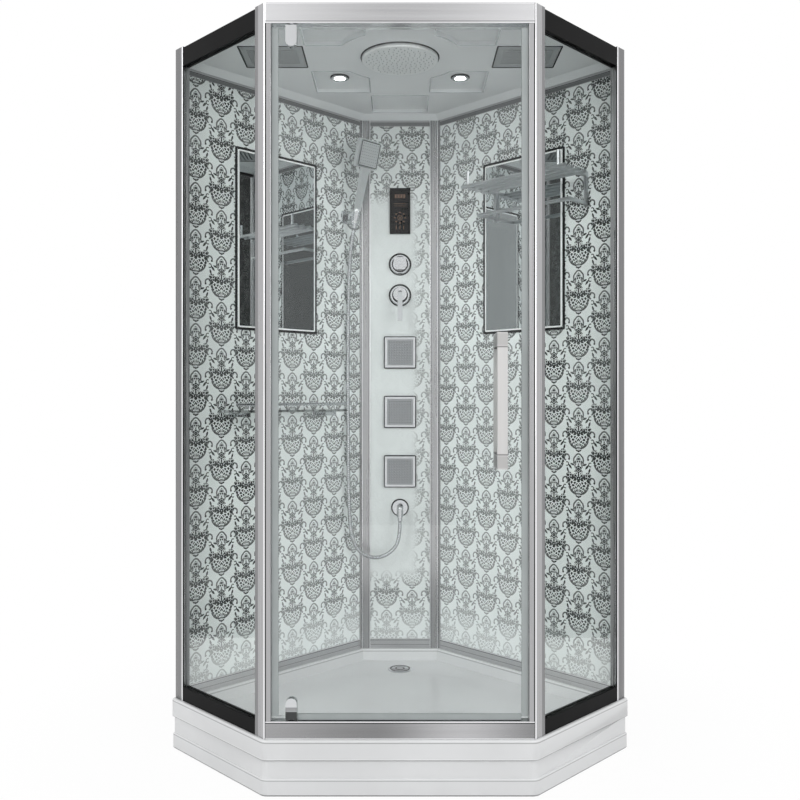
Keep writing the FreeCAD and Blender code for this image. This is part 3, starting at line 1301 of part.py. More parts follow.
# Pivot door
def make_door():
    body = new_body("door_glass", frame=DOOR_FRONT)
    sketch = new_sketch(body, "XZ")
    outline(sketch, rectangle("-door_half", "door_low", "door_half", "door_high"))
    bolts = ("handle_z + handle_block / 2", "handle_z + handle_length - handle_block / 2")
    for z in bolts:
        circle(sketch, ("handle_x", z), "handle_bolt + bolt_room")
    feature(body, "Pad", sketch, "door_thickness", Reversed=True)
    keep(body)

    left = "handle_x - handle_width / 2"
    inner_y = "door_front + door_thickness"
    halves = []
    for name, bar_y, block_y in (("outside", "door_front - handle_standoff - handle_thickness",
                                  "door_front - handle_standoff"),
                                 ("inside", f"{inner_y} + handle_standoff", inner_y)):
        pieces = [box(f"handle_{name}_bar", (left, bar_y, "handle_z"),
                      ("handle_width", "handle_thickness", "handle_length"))]
        for index, z in enumerate(("handle_z", "handle_z + handle_length - handle_block")):
            pieces.append(box(f"handle_{name}_block_{index}", (left, block_y, z),
                              ("handle_width", "handle_standoff", "handle_block")))
        if name == "outside":
            pieces += [rod(f"handle_bolt_{index}", ("handle_x", "door_front", z), "handle_bolt",
                           "door_thickness", "y")
                       for index, z in enumerate(bolts)]
        halves.append(fuse(f"handle_{name}", *pieces))
    keep(group("door_handle", *halves))

    clamps = []
    depth = "door_thickness + 2 * clamp_cheek"
    left = "pivot_x - clamp_width / 2"
    near = "door_front - clamp_cheek"
    straight = "clamp_height - clamp_width / 2"
    upper_middle = f"door_high + clamp_bridge - ({straight})"
    kinds = (
        ("upper", upper_middle, upper_middle, "door_high - clamp_height", "door_high + clamp_bridge"),
        ("lower", "door_low - clamp_bridge", f"door_low - clamp_bridge + {straight}", "door_low",
         "threshold_z - pivot_reach"),
    )
    for name, low, round_z, glass_low, pin_low in kinds:
        block = box(f"{name}_clamp_block", (left, near, low), ("clamp_width", depth, straight))
        end = rod(f"{name}_clamp_end", ("pivot_x", near, round_z), "clamp_width / 2", depth, "y")
        pin = rod(f"{name}_clamp_pin", ("pivot_x", "door_middle", pin_low), "pivot_radius",
                  "pivot_reach + pivot_gap")
        slot = box(f"{name}_clamp_slot", (left, "door_front - clamp_play", glass_low),
                   ("clamp_width", "door_thickness + 2 * clamp_play", "clamp_height"))
        clamps.append(cut(f"{name}_clamp", fuse(f"{name}_clamp_whole", block, end, pin), slot))
    keep(group("pivot_clamps", *clamps))

    seals = []
    thick = "door_thickness + 2 * clamp_play + 2 * seal_lip"
    seal_y = "door_front - clamp_play - seal_lip"
    groove_y = "door_front - clamp_play"
    groove = "door_thickness + 2 * clamp_play"
    tall = "door_high - door_low"
    for name, low_x, slot_x in (("hinge", "-door_half - seal_width", "-door_half"),
                                ("latch", "door_half - seal_cover", "door_half - seal_cover")):
        strip = box(f"{name}_strip", (low_x, seal_y, "door_low"), ("seal_width + seal_cover", thick, tall))
        slot = box(f"{name}_strip_slot", (slot_x, groove_y, "door_low"), ("seal_cover", groove, tall))
        seals.append(cut(f"{name}_seal", strip, slot))
    sweep_x = "pivot_x + clamp_width / 2 + sweep_gap"
    sweep_z = "threshold_z + sweep_gap"
    sweep_length = f"door_half - seal_cover - sweep_gap - ({sweep_x})"
    strip = box("sweep_strip", (sweep_x, seal_y, sweep_z),
                (sweep_length, thick, f"door_low + seal_cover - ({sweep_z})"))
    slot = box("sweep_slot", (sweep_x, groove_y, "door_low"), (sweep_length, groove, "seal_cover"))
    seals.append(cut("sweep_seal", strip, slot))
    keep(group("door_seals", *seals))


# Roof with its coffers, lights, grilles, fan and speaker
def from_front(distance):
    return f"front_y + {distance}"


def make_roof():
    body = new_body("roof_panel")
    edge = "frame_back + roof_gap"
    feature(body, "Pad", outline(new_sketch(body, "XY", "wall_top"), plan("roof_inset", edge, edge)),
            "roof_thickness")
    border = f"{edge} + roof_border"
    room = plan("wall_face + channel_front", border, border, "column_y - channel_front")
    cove = feature(body, "Pocket", outline(new_sketch(body, "XY", "wall_top"), room), "cove_depth",
                   Reversed=True)
    bind(cove, TaperAngle="-cove_draft")

    coffers = new_sketch(body, "XY", "ceiling_z")
    grille_x = "grille_width / 2 + grille_room"
    grille_y = "grille_depth / 2 + grille_room"
    areas = [
        ("coffer_inner", from_front("front_coffer_near"), "coffer_outer", from_front("front_coffer_far")),
        ("coffer_inner", from_front("back_coffer_near"), "coffer_outer", from_front("back_coffer_far")),
        (f"grille_x - ({grille_x})", f"{from_front('grille_from_front')} - ({grille_y})",
         f"grille_x + {grille_x}", f"{from_front('grille_from_front')} + {grille_y}"),
    ]
    for low_x, low_y, high_x, high_y in areas:
        outline(coffers, rectangle(low_x, low_y, high_x, high_y))
        outline(coffers, rectangle(f"-({high_x})", low_y, f"-({low_x})", high_y))
    outline(coffers, rectangle("-tail_coffer_half", from_front("tail_coffer_near"),
                               "tail_coffer_half", from_front("tail_coffer_far")))
    feature(body, "Pocket", coffers, "coffer_depth", Reversed=True)
    ring = circle(new_sketch(body, "XY", "ceiling_z"), ("0", "rain_y"), "ring_radius")
    feature(body, "Pad", ring, "roof_top - ceiling_z")

    holes = new_sketch(body, "XY", "wall_top")
    circle(holes, ("0", "rain_y"), "rain_neck + pipe_room")
    circle(holes, ("0", "pipe_y"), "pipe_radius + pipe_room")
    for sign in ("", "-"):
        circle(holes, (f"{sign}spot_x", from_front("spot_from_front")), "spot_can + spot_room")
    circle(holes, ("grille_x", from_front("grille_from_front")), "speaker_radius + spot_room")
    half = "fan_size / 2 + fan_room"
    middle_y = from_front("grille_from_front")
    outline(holes, rectangle(f"-grille_x - ({half})", f"{middle_y} - ({half})",
                             f"-grille_x + {half}", f"{middle_y} + {half}"))
    feature(body, "Pocket", holes, "roof_thickness", Reversed=True)
    keep(body)


def make_rain_head():
    body = new_body("rain_disc", ("0", "rain_y", "ceiling_z"))
    profile = [("0", "-rain_thickness"), ("rain_radius - rain_edge", "-rain_thickness"),
               ("rain_radius", "rain_edge - rain_thickness"), ("rain_radius", "0"), ("rain_neck", "0"),
               ("rain_neck", "roof_top - ceiling_z"), ("0", "roof_top - ceiling_z")]
    revolve(body, outline(new_sketch(body, "XZ"), profile))
    half = "block_size / 2"
    block = box("rain_block", (f"-{half}", f"rain_y - {half}", "roof_top"),
                ("block_size", "block_size", "block_height"))
    keep(fuse("rain_shower", body, block))


def make_spots():
    bezels = []
    lenses = []
    y = from_front("spot_from_front")
    for index, x in enumerate(("-spot_x", "spot_x")):
        rim = rod(f"spot_rim_{index}", (x, y, "coffer_z - spot_bezel"), "spot_radius", "spot_bezel")
        can = rod(f"spot_can_{index}", (x, y, "coffer_z - spot_bezel"), "spot_can",
                  "roof_top - coffer_z + spot_bezel")
        well = rod(f"spot_well_{index}", (x, y, "coffer_z - spot_bezel"), "spot_lens + running_gap",
                   "lens_thickness")
        bezels.append(cut(f"spot_bezel_{index}", fuse(f"spot_whole_{index}", rim, can), well))
        lenses.append(rod(f"spot_lens_{index}", (x, y, "coffer_z - spot_bezel"), "spot_lens",
                          "lens_thickness"))
    keep(group("spot_bezels", *bezels))
    keep(group("spot_lenses", *lenses))


def make_air_and_sound():
    y = from_front("grille_from_front")
    slots = int((value("grille_depth") - 2 * value("grille_border")) / value("grille_pitch"))
    grilles = []
    for name, x in (("fan", "-grille_x"), ("speaker", "grille_x")):
        low = "ceiling_z"
        plate = box(f"{name}_grille_plate", (f"{x} - grille_width / 2", f"{y} - grille_depth / 2", low),
                    ("grille_width", "grille_depth", "coffer_depth"))
        bars = [box(f"{name}_grille_slot_{index}",
                    (f"{x} - grille_width / 2 + grille_border",
                     f"{y} + ({index} - {(slots - 1) / 2}) * grille_pitch - grille_slot / 2", low),
                    ("grille_width - 2 * grille_border", "grille_slot",
                     "coffer_depth")) for index in range(slots)]
        grilles.append(cut(f"{name}_grille", plate, *bars))
    keep(group("ceiling_grilles", *grilles))

    x = "-grille_x"
    case = box("fan_case", (f"{x} - fan_size / 2", f"{y} - fan_size / 2", "fan_low"),
               ("fan_size", "fan_size", "fan_height"))
    wide = "fan_size + 2 * fan_flange"
    flange = box("fan_rim", (f"{x} - ({wide}) / 2", f"{y} - ({wide}) / 2", "roof_top"),
                 (wide, wide, "fan_plate"))
    air_way = rod("fan_air_way", (x, y, "fan_low"), "fan_bore", "fan_height")
    top = "fan_low + fan_height - fan_plate"
    strut = box("fan_strut", (f"{x} - fan_size / 2", f"{y} - fan_flange / 2", top),
                ("fan_size", "fan_flange", "fan_plate"))
    pin_low = "fan_low + fan_plate"
    pin = rod("fan_shaft", (x, y, pin_low), "fan_pin", f"{top} - ({pin_low})")
    keep(fuse("fan_housing", cut("fan_shell", fuse("fan_whole", case, flange), air_way), strut, pin))

    hub_low = "fan_low + fan_plate"
    hub_height = "fan_height - 2 * fan_plate - running_gap"
    hub = rod("fan_hub_round", (x, y, hub_low), "fan_hub", hub_height)
    blades = []
    count = int(value("blade_count"))
    for index in range(count):
        blade = doc.addObject("Part::Box", f"fan_blade_{index}")
        bind(blade, Length="fan_tip - fan_hub / 2", Width="blade_width", Height="blade_thickness")
        tilt = Rotation(Vector(1, 0, 0), value("blade_tilt"))
        swing = Rotation(Vector(0, 0, 1), 360 / count * index) * tilt
        place(blade, (x, y, f"{hub_low} + fan_plate"), ROOM, swing)
        blades.append(blade)
    sweep = rod("fan_sweep", (x, y, hub_low), "fan_tip", hub_height)
    bore = rod("fan_hub_bore", (x, y, hub_low), "fan_pin + fan_pin_fit", hub_height)
    wheel = doc.addObject("Part::MultiCommon", "fan_wheel")
    wheel.Shapes = [fuse("fan_rotor", hub, *blades), sweep]
    keep(cut("fan_impeller", wheel, bore))

    body = new_body("speaker_driver", ("grille_x", y, "roof_top"))
    profile = [("0", "-fan_plate"), ("magnet_radius", "-fan_plate"), ("speaker_radius", "-speaker_dish"),
               ("speaker_radius", "0"), ("speaker_flange", "0"), ("speaker_flange", "fan_plate"),
               ("magnet_radius", "speaker_slope"), ("magnet_radius", "fan_height / 2"), ("0",
                                                                                         "fan_height / 2")]
    revolve(body, outline(new_sketch(body, "XZ"), profile))
    keep(body)


def check_and_write():
    """Stop at any object that failed, then write each sub-part to its own file."""
    doc.recompute()
    failed = [thing.Name for thing in doc.Objects if {"Invalid", "Error"} & set(thing.State)]
    failed += [name for name, thing in nodes.items() if thing.Shape.isNull() or not thing.Shape.isValid()]
    if failed:
        raise RuntimeError("failed: " + ", ".join(failed))
    os.makedirs("parts", exist_ok=True)
    for name, thing in nodes.items():
        thing.Shape.exportStep(f"parts/{name}.step")


make_tray()
make_apron()
make_support()
make_drain()
make_posts()
make_side_panels()
make_door_rails()
make_walls()
make_column()
make_controls()
make_valves()
make_plumbing()
make_jets()
make_elbow()
make_handset()
make_hose()
make_wall_fittings()
make_door()
make_roof()
make_rain_head()
make_spots()
make_air_and_sound()
check_and_write()
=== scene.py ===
import json
import math
from collections import namedtuple

import bmesh
import bpy
from bpy.props import FloatProperty, FloatVectorProperty, IntProperty, PointerProperty
from mathutils import Matrix, Vector


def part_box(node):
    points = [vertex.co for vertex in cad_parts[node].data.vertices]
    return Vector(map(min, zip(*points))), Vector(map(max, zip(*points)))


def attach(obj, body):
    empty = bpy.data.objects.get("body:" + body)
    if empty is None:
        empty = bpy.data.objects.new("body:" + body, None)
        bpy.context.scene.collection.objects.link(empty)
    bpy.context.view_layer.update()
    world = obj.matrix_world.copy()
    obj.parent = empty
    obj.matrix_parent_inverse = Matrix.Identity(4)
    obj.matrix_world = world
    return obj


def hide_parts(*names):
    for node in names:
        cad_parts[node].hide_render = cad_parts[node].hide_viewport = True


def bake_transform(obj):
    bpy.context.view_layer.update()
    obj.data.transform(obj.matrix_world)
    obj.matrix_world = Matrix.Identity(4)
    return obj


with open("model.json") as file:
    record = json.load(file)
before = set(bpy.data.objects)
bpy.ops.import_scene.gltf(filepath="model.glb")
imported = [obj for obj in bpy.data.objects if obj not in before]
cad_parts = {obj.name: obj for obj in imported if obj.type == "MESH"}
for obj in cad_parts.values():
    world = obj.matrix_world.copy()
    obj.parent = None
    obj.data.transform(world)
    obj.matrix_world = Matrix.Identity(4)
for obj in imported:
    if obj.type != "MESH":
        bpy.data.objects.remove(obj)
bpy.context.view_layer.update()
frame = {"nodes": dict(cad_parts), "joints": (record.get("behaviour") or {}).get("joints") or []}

bl_info = {
    "name": "Corner shower cabin",
    "version": (1, 0, 0),
    "blender": (4, 5, 0),
    "location": "3D View > Sidebar > Cabin",
    "description": "Finishes, fittings and studio of a corner shower cabin with body jets",
    "category": "Object",
}

CABIN = "cabin"
JETS = (1, 2, 3)
REAR_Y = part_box("shower_tray")[1].y
COLUMN_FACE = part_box("column_panel")[0].y
DIAGONAL = math.sqrt(0.5)
UP = Vector((0, 0, 1))
DOWN = -UP
BACK = Vector((0, 1, 0))
FRONT = -BACK
BLACK = (0, 0, 0, 1)
WHITE = (1, 1, 1, 1)
JOIN_DISTANCE = 0.00002


# Settings
def from_screen(red, green, blue):
    """Linear colour of a screen colour given in steps of 255."""
    parts = (red / 255, green / 255, blue / 255)
    return tuple(part / 12.92 if part <= 0.04045 else ((part + 0.055) / 1.055) ** 2.4 for part in parts)


def colour(name, note, red, green, blue):
    """Colour setting of a finish."""
    return FloatVectorProperty(name=name, description=note, subtype="COLOR", min=0, max=1,
                               default=from_screen(red, green, blue))


def length(name, note, metres):
    """Length setting in metres."""
    return FloatProperty(name=name, description=note, default=metres, min=0, unit="LENGTH", precision=4)


def power(name, note, watts):
    """Power setting of a light."""
    return FloatProperty(name=name, description=note, default=watts, min=0, unit="POWER")


class CabinFinishes(bpy.types.PropertyGroup):
    """Colours of the cabin's surfaces."""
    acrylic: colour("Acrylic", "Tray and apron", 226, 227, 228)
    ceiling: colour("Ceiling", "Roof panel seen from inside", 240, 243, 244)
    aluminium: colour("Aluminium", "Posts, header and channels", 240, 240, 242)
    black_rail: colour("Black rail", "Rails of the side panels", 6, 6, 7)
    wall_ground: colour("Wall ground", "Glass between the printed ornaments", 247, 252, 251)
    wall_print: colour("Wall print", "Printed ornaments", 9, 12, 12)
    door_glass: colour("Door glass", "Door and shelf", 252, 253, 253)
    side_glass: colour("Side glass", "Side panels", 251, 253, 252)
    silver: colour("Mirror", "Silvered face of the mirrors", 222, 226, 227)
    chrome: colour("Chrome", "Taps, jet frames, shelf fittings and clamps", 214, 216, 218)
    # The dark rims around the taps, jets, lamps, grilles, drain and hand shower stand for the shade at their
    # edges.
    dark_line: colour("Dark line", "Gaskets and the edges of the mirrors", 30, 32, 33)
    icon: colour("Display mark", "Lit marks of the display", 112, 86, 70)


class CabinSizes(bpy.types.PropertyGroup):
    """Sizes of what the scene adds to the cabin."""
    damask_pitch: length("Damask pitch", "Distance between the columns of ornaments", 0.095)
    damask_period: length("Damask period", "Height of one ornament and its gap", 0.148)
    hose_radius: length("Hose radius", "Outer radius on the ribs", 0.007)
    hose_root: length("Hose root", "Radius between the ribs", 0.0062)
    hose_bore: length("Hose bore", "Inner radius", 0.0045)
    hose_ribs: IntProperty(name="Hose ribs", description="Number of ribs on the hose", default=200, min=20)
    mirror_bevel: length("Mirror bevel", "Edge of a mirror to the inside of its ground border", 0.0085)
    bezel_depth: length("Bezel depth", "Spot bezels below the coffers", 0.005)
    rain_depth: length("Rain head depth", "Rain head below the ceiling", 0.012)
    edge_round: length("Edge round", "Softened edge of extruded pieces", 0.0012)
    handset_round: length("Hand shower round", "Softened edge of the hand shower", 0.003)
    plinth_height: length("Plinth height", "Top of the apron's lower band", 0.05)
    grille_width: length("Grille width", "Width of a ceiling grille", 0.184)
    bead_width: length("Bead width", "Bright bead along the coffers", 0.0045)
    jet_nozzle_radius: length("Jet nozzle radius", "Radius of a nozzle of the body jets", 0.0027)
    nozzle_radius: length("Nozzle radius", "Radius of a spray nozzle", 0.0017)
    nozzle_rise: length("Nozzle rise", "Height of a nozzle with its buried foot", 0.0026)
    rim_gap: length("Gasket gap", "Clearance between a piece and its gasket", 0.0003)
    mark_depth: length("Mark depth", "Thickness of the display's marks", 0.0004)


class CabinStudio(bpy.types.PropertyGroup):
    """Camera and light."""
    camera_distance: length("Camera distance", "Middle of the cabin to the camera", 2.861)
    camera_height: length("Camera height", "Floor to the camera", 1.095)
    lens: FloatProperty(name="Lens", description="Focal length in millimetres", default=38.93, min=1)
    shift: FloatProperty(name="Shift", description="Vertical shift of the picture", default=-0.0056)
    key_power: power("Key", "Power of the main soft light", 75)
    fill_power: power("Fill", "Power of the side light", 53)
    ambient: FloatProperty(name="Ambient", description="Strength of the even light", default=0.66, min=0)


def finishes():
    return bpy.context.scene.cabin_finishes


def sizes():
    return bpy.context.scene.cabin_sizes


def studio():
    return bpy.context.scene.cabin_studio


# Node graphs
class Graph:
    """Short calls that add nodes to a tree and join them."""

    def __init__(self, tree):
        self.tree = tree

    def add(self, kind, **settings):
        node = self.tree.nodes.new(kind)
        for name, setting in settings.items():
            setattr(node, name, setting)
        return node

    def feed(self, socket, source):
        """Give a socket a link or a plain value."""
        if isinstance(source, bpy.types.NodeSocket):
            self.tree.links.new(source, socket)
        else:
            socket.default_value = source

    def math(self, operation, *values):
        node = self.add("ShaderNodeMath", operation=operation)
        for socket, source in zip(node.inputs, values):
            self.feed(socket, source)
        return node.outputs[0]

    def vector(self, operation, *values):
        node = self.add("ShaderNodeVectorMath", operation=operation)
        for socket, source in zip(node.inputs, values):
            self.feed(socket, source)
        return node.outputs["Value" if operation == "LENGTH" else "Vector"]

    def times(self, first, second):
        return self.math("MULTIPLY", first, second)

    def times_plus(self, first, second, added):
        return self.math("MULTIPLY_ADD", first, second, added)

    def minus(self, first, second):
        return self.math("SUBTRACT", first, second)

    def over(self, first, second):
        return self.math("DIVIDE", first, second)

    def above(self, first, second):
        return self.math("GREATER_THAN", first, second)

    def most(self, first, second):
        return self.math("MAXIMUM", first, second)

    def around(self, source, middle, spread):
        """Value that moves about a middle as its source goes from zero to one."""
        return self.times_plus(source, spread, middle - spread / 2)

    def distance(self, first, second):
        """How far two values are apart."""
        return self.math("ABSOLUTE", self.minus(first, second))

    def axes(self, vector):
        """Parts of a vector by the names of its axes."""
        split = self.add("ShaderNodeSeparateXYZ")
        self.feed(split.inputs[0], vector)
        return split.outputs

    def point(self, x, y):
        """Vector in a plane from its two parts."""
        joiner = self.add("ShaderNodeCombineXYZ")
        self.wire(joiner, x=x, y=y)
        return joiner.outputs[0]

    def wire(self, node, **sources):
        """Feed a node's inputs by their names."""
        for name, source in sources.items():
            label = name.replace("_", " ").title().replace("Ior", "IOR")
            self.feed(node.inputs[label], source)

    def shade(self, tone, rgb):
        """Colour darkened by a tone."""
        return self.blend(tone, BLACK, (*rgb, 1.0))

    def surface(self, factor, first, second):
        """Mix two shader nodes into the material's surface."""
        mixed = self.add("ShaderNodeMixShader")
        for socket, source in zip(mixed.inputs, (factor, first.outputs[0], second.outputs[0])):
            self.feed(socket, source)
        self.feed(self.tree.nodes["Material Output"].inputs["Surface"], mixed.outputs[0])

    def seen(self):
        """One for what the camera sees straight, in a reflection or through glass."""
        path = self.add("ShaderNodeLightPath").outputs
        bent = self.most(path["Is Glossy Ray"], path["Is Transmission Ray"])
        return self.most(path["Is Camera Ray"], bent)

    def blend(self, factor, first, second):
        """Mix two colours."""
        node = self.add("ShaderNodeMix", data_type="RGBA")
        self.feed(node.inputs["Factor"], factor)
        self.feed(node.inputs[6], first)
        self.feed(node.inputs[7], second)
        return node.outputs[2]

    def ramp(self, source, low, high, first=0.0, last=1.0):
        """Smooth step from one value to another."""
        node = self.add("ShaderNodeMapRange", interpolation_type="SMOOTHSTEP")
        self.wire(node, value=source, from_min=low, from_max=high, to_min=first, to_max=last)
        return node.outputs["Result"]

    def noise(self, vector, scale, detail=3.0):
        node = self.add("ShaderNodeTexNoise")
        self.wire(node, vector=vector, scale=scale, detail=detail)
        return node.outputs["Fac"]

    def bump(self, height, strength, distance):
        node = self.add("ShaderNodeBump")
        self.wire(node, height=height, strength=strength, distance=distance)
        return node.outputs["Normal"]

    def group(self, tree, **values):
        """Place a node group and set its inputs by name."""
        node = self.add("ShaderNodeGroup", node_tree=tree)
        self.wire(node, **values)
        return node

    def place(self, turn=0.0, shift=(0, 0, 0), scale=(1, 1, 1)):
        """Object coordinates, turned about the upright axis, moved and stretched."""
        where = self.add("ShaderNodeTexCoord")
        node = self.add("ShaderNodeMapping")
        self.wire(node, vector=where.outputs["Object"], rotation=(0, 0, turn), location=shift, scale=scale)
        return node.outputs["Vector"]


def new_group(name, inputs, outputs):
    """Empty shader node group with sockets by their names; the one called Vector takes a vector."""
    tree = bpy.data.node_groups.new(name, "ShaderNodeTree")
    for way, labels in (("INPUT", inputs), ("OUTPUT", outputs)):
        for label in labels:
            kind = "NodeSocketVector" if label == "Vector" else "NodeSocketFloat"
            tree.interface.new_socket(label, in_out=way, socket_type=kind)
    graph = Graph(tree)
    return graph, graph.add("NodeGroupInput").outputs, graph.add("NodeGroupOutput").inputs


def grain_group():
    """Fine drawn lines along a metal piece."""
    graph, given, result = new_group("drawn grain", ("Vector", "Fineness"), ("Lines", "Clouds"))
    graph.feed(result["Lines"], graph.noise(given["Vector"], given["Fineness"], detail=4.0))
    graph.feed(result["Clouds"], graph.noise(given["Vector"], 2.0, detail=2.0))
    return graph.tree


def water_group():
    """Dried water marks: pale rings and a slow change of gloss."""
    graph, given, result = new_group("water marks", ("Vector", "Spread"), ("Marks", "Haze"))
    cells = graph.add("ShaderNodeTexVoronoi", feature="F1")
    graph.wire(cells, vector=given["Vector"], scale=given["Spread"])
    ring_radius = 0.2
    ring_line = 0.06
    rim = graph.minus(ring_line, graph.distance(cells.outputs["Distance"], ring_radius))
    graph.feed(result["Marks"], graph.ramp(rim, 0.0, ring_line))
    graph.feed(result["Haze"], graph.noise(given["Vector"], 3.0, detail=4.0))
    return graph.tree


class Ornament(Graph):
    """Signed shapes of one printed ornament, in millimetres, drawn for its right half."""

    def __init__(self, tree, spot):
        super().__init__(tree)
        self.spot = spot

    def away(self, x, y):
        return self.vector("SUBTRACT", self.spot, (x, y, 0))

    def ellipse(self, x, y, half_width, half_height):
        """Positive inside, in millimetres of the smaller half axis."""
        shares = self.vector("MULTIPLY", self.away(x, y), (1 / half_width, 1 / half_height, 0))
        inside = self.minus(1, self.vector("LENGTH", shares))
        return self.times(inside, min(half_width, half_height))

    def ring(self, x, y, radius, line):
        reach = self.vector("LENGTH", self.away(x, y))
        return self.minus(line / 2, self.distance(reach, radius))

    def leaf(self, x, y, half_width, half_height, lean=0.0):
        """Pointed leaf: the overlap of two circles, leaning by an angle in degrees."""
        turned = self.add("ShaderNodeVectorRotate", rotation_type="Z_AXIS")
        self.wire(turned, vector=self.away(x, y), angle=math.radians(lean))
        folded = self.vector("ABSOLUTE", turned.outputs[0])
        radius = (half_height ** 2 + half_width ** 2) / (2 * half_width)
        moved = self.vector("ADD", folded, (radius - half_width, 0, 0))
        return self.minus(radius, self.vector("LENGTH", moved))

    def polar(self, x, y):
        """Angle from upright and distance about a point."""
        away = self.away(x, y)
        parts = self.axes(away)
        return self.math("ARCTAN2", parts["X"], parts["Y"]), self.vector("LENGTH", away)

    def lace(self, across, up, vein):
        """Petals and leaflets with light veins of a chosen width between them."""
        cells = self.add("ShaderNodeTexVoronoi", feature="DISTANCE_TO_EDGE", voronoi_dimensions="2D")
        self.wire(cells, vector=self.point(across, up), scale=1.0, randomness=0.8)
        cell_size = 9.0
        return self.times(self.minus(cells.outputs["Distance"], vein), cell_size)

    def band(self, shape, line):
        """Outline drawn inside a shape."""
        half = line / 2
        return self.minus(half, self.distance(shape, half))

    def fold(self, operation, shapes):
        """One shape from several, two at a time."""
        folded = shapes[0]
        for shape in shapes[1:]:
            folded = self.math(operation, folded, shape)
        return folded

    def join(self, *shapes):
        return self.fold("MAXIMUM", shapes)

    def overlap(self, *shapes):
        return self.fold("MINIMUM", shapes)

    def without(self, shape, taken):
        return self.math("MINIMUM", shape, self.times(taken, -1))


def damask_group():
    """Half-drop damask: a bowl of leaves, a flower cluster and a pointed arch with curls."""
    graph, given, result = new_group("damask", ("Across", "Up", "Pitch", "Period"), ("Bold", "Fine"))
    half_pitch = 47.5
    tall = 148.0
    foot = 46.0
    steps = graph.over(given["Across"], given["Pitch"])
    column = graph.math("FLOOR", steps)
    inside = graph.minus(graph.minus(steps, column), 0.5)
    x = graph.times(graph.math("ABSOLUTE", inside), 2 * half_pitch)
    drop = graph.times(graph.math("FLOORED_MODULO", column, 2.0), 0.5)
    turns = graph.math("ADD", graph.over(given["Up"], given["Period"]), drop)
    y = graph.minus(graph.times(graph.math("FRACT", turns), tall), foot)
    art = Ornament(graph.tree, graph.point(x, y))

    # Bowl with a scalloped edge and a fan of petals
    bowl = art.ellipse(0, 3, 40, 38)
    hollow = art.ellipse(0, 9, 35.5, 37.5)
    scallop_turn = 0.62
    scallop_depth = 2.0
    scallop = graph.times(graph.math("SINE", graph.times(x, scallop_turn)), scallop_depth)
    gap = graph.minus(x, 5)
    below_rim = graph.minus(17, y)
    edge = art.overlap(graph.math("ADD", art.without(bowl, hollow), scallop), bowl, below_rim, gap)
    angle, reach = art.polar(0, -42)
    petals = art.lace(graph.times(angle, 4.6), graph.over(reach, 10.5), 0.15)
    fan = art.overlap(petals, bowl, graph.minus(26, y))

    # Crest of leaves over the bowl
    crest = art.join(art.leaf(33, 24, 8, 20, -62), art.leaf(15, 27, 7, 15, -34), art.leaf(38, 35, 5, 11, -70),
                     art.leaf(44, 24, 5, 9, -20), art.leaf(38, 12, 5, 11, -30), art.ellipse(0, 22, 19, 7))
    tufts = art.lace(graph.over(x, 8.5), graph.over(y, 9), 0.095)
    leaves = art.overlap(crest, tufts)

    # Rosette between the crest and the arch
    angle, reach = art.polar(0, 50)
    lobe_count = 6
    hole_turn = 0.95
    lobes = graph.times_plus(graph.math("COSINE", graph.times(angle, lobe_count)), 4, 13.5)
    rosette = graph.minus(lobes, reach)
    holes = graph.math("COSINE", graph.times(reach, hole_turn))
    flower = art.join(art.overlap(rosette, graph.minus(0.8, holes)), art.leaf(0, 32, 3, 7))

    # Pointed arch, the bud inside it and the curls at its feet
    arch = art.join(art.ellipse(0, 79, 21, 19), art.leaf(0, 86, 15, 16))
    arch_line = art.overlap(art.band(arch, 5), graph.minus(y, 69))
    bud = art.overlap(art.join(art.leaf(0, 80, 9, 13), art.leaf(9, 75, 4, 8, -24)), tufts)
    curls = art.join(art.ring(15, 67, 5, 3.6), art.ellipse(15, 67, 2, 2))

    # Hooks that lead from the bowl to the neighbouring arch
    hook = art.overlap(art.ring(50, 13, 10, 5), graph.minus(y, 2))
    hook_end = art.overlap(art.ring(45, 87, 10, 5), graph.minus(y, 82))
    tip = art.join(art.ellipse(36, 82, 3.6, 3.6), art.ring(44, 66, 6, 3.4), art.leaf(32, 58, 3.6, 10, 40),
                   art.leaf(24, 65, 3, 8, 68), art.leaf(41, 47, 3.4, 9, 18), art.ellipse(42, 31, 3, 3))
    pendant = art.join(art.ellipse(0, -40, 3.4, 3.4), art.leaf(6, -38, 2.6, 6, 60))

    soft = 0.35
    bold = art.join(edge, arch_line, curls, hook, hook_end)
    fine = art.join(fan, leaves, flower, bud, tip, pendant)
    graph.feed(result["Bold"], graph.ramp(bold, -soft, soft))
    graph.feed(result["Fine"], graph.ramp(fine, -soft, soft))
    return graph.tree


GROUPS = {}


def shared(name):
    """A node group that several materials use, made on first use."""
    makers = {"grain": grain_group, "water": water_group, "damask": damask_group}
    if name not in GROUPS:
        GROUPS[name] = makers[name]()
    return GROUPS[name]


def scaled(rgb, factor=1.0):
    """Colour made lighter or darker, with full alpha."""
    return (*(min(1.0, part * factor) for part in rgb), 1.0)


def new_material(name, **values):
    """Material with a Principled shader whose inputs are set by name."""
    material = bpy.data.materials.new(name)
    material.use_nodes = True
    graph = Graph(material.node_tree)
    shader = material.node_tree.nodes["Principled BSDF"]
    graph.wire(shader, **values)
    return material, graph, shader


# Finishes
def with_tone_lines(graph, tone, axis, tone_lines):
    """Tone with lines across it, such as painted highlights and painted shade lines; a line has its middle,
    half width and tone.
    """
    position = graph.math("ABSOLUTE", graph.axes(graph.place())[axis])
    for middle, half, line_tone in tone_lines:
        near = graph.ramp(graph.distance(position, middle), half * 0.7, half, 1.0, 0.0)
        tone = graph.times_plus(near, graph.minus(line_tone, tone), tone)
    return tone


def with_painted_sheen(graph, tone, lobes):
    """Tone with soft lighter stretches along a level piece, which are painted reflections; a lobe has its
    middle, half width and gain.
    """
    along_piece = graph.axes(graph.place())["X"]
    for middle, half, gain in lobes:
        lift = graph.ramp(graph.distance(along_piece, middle), 0.0, half, 1.0 + gain, 1.0)
        tone = graph.times(tone, lift)
    return tone


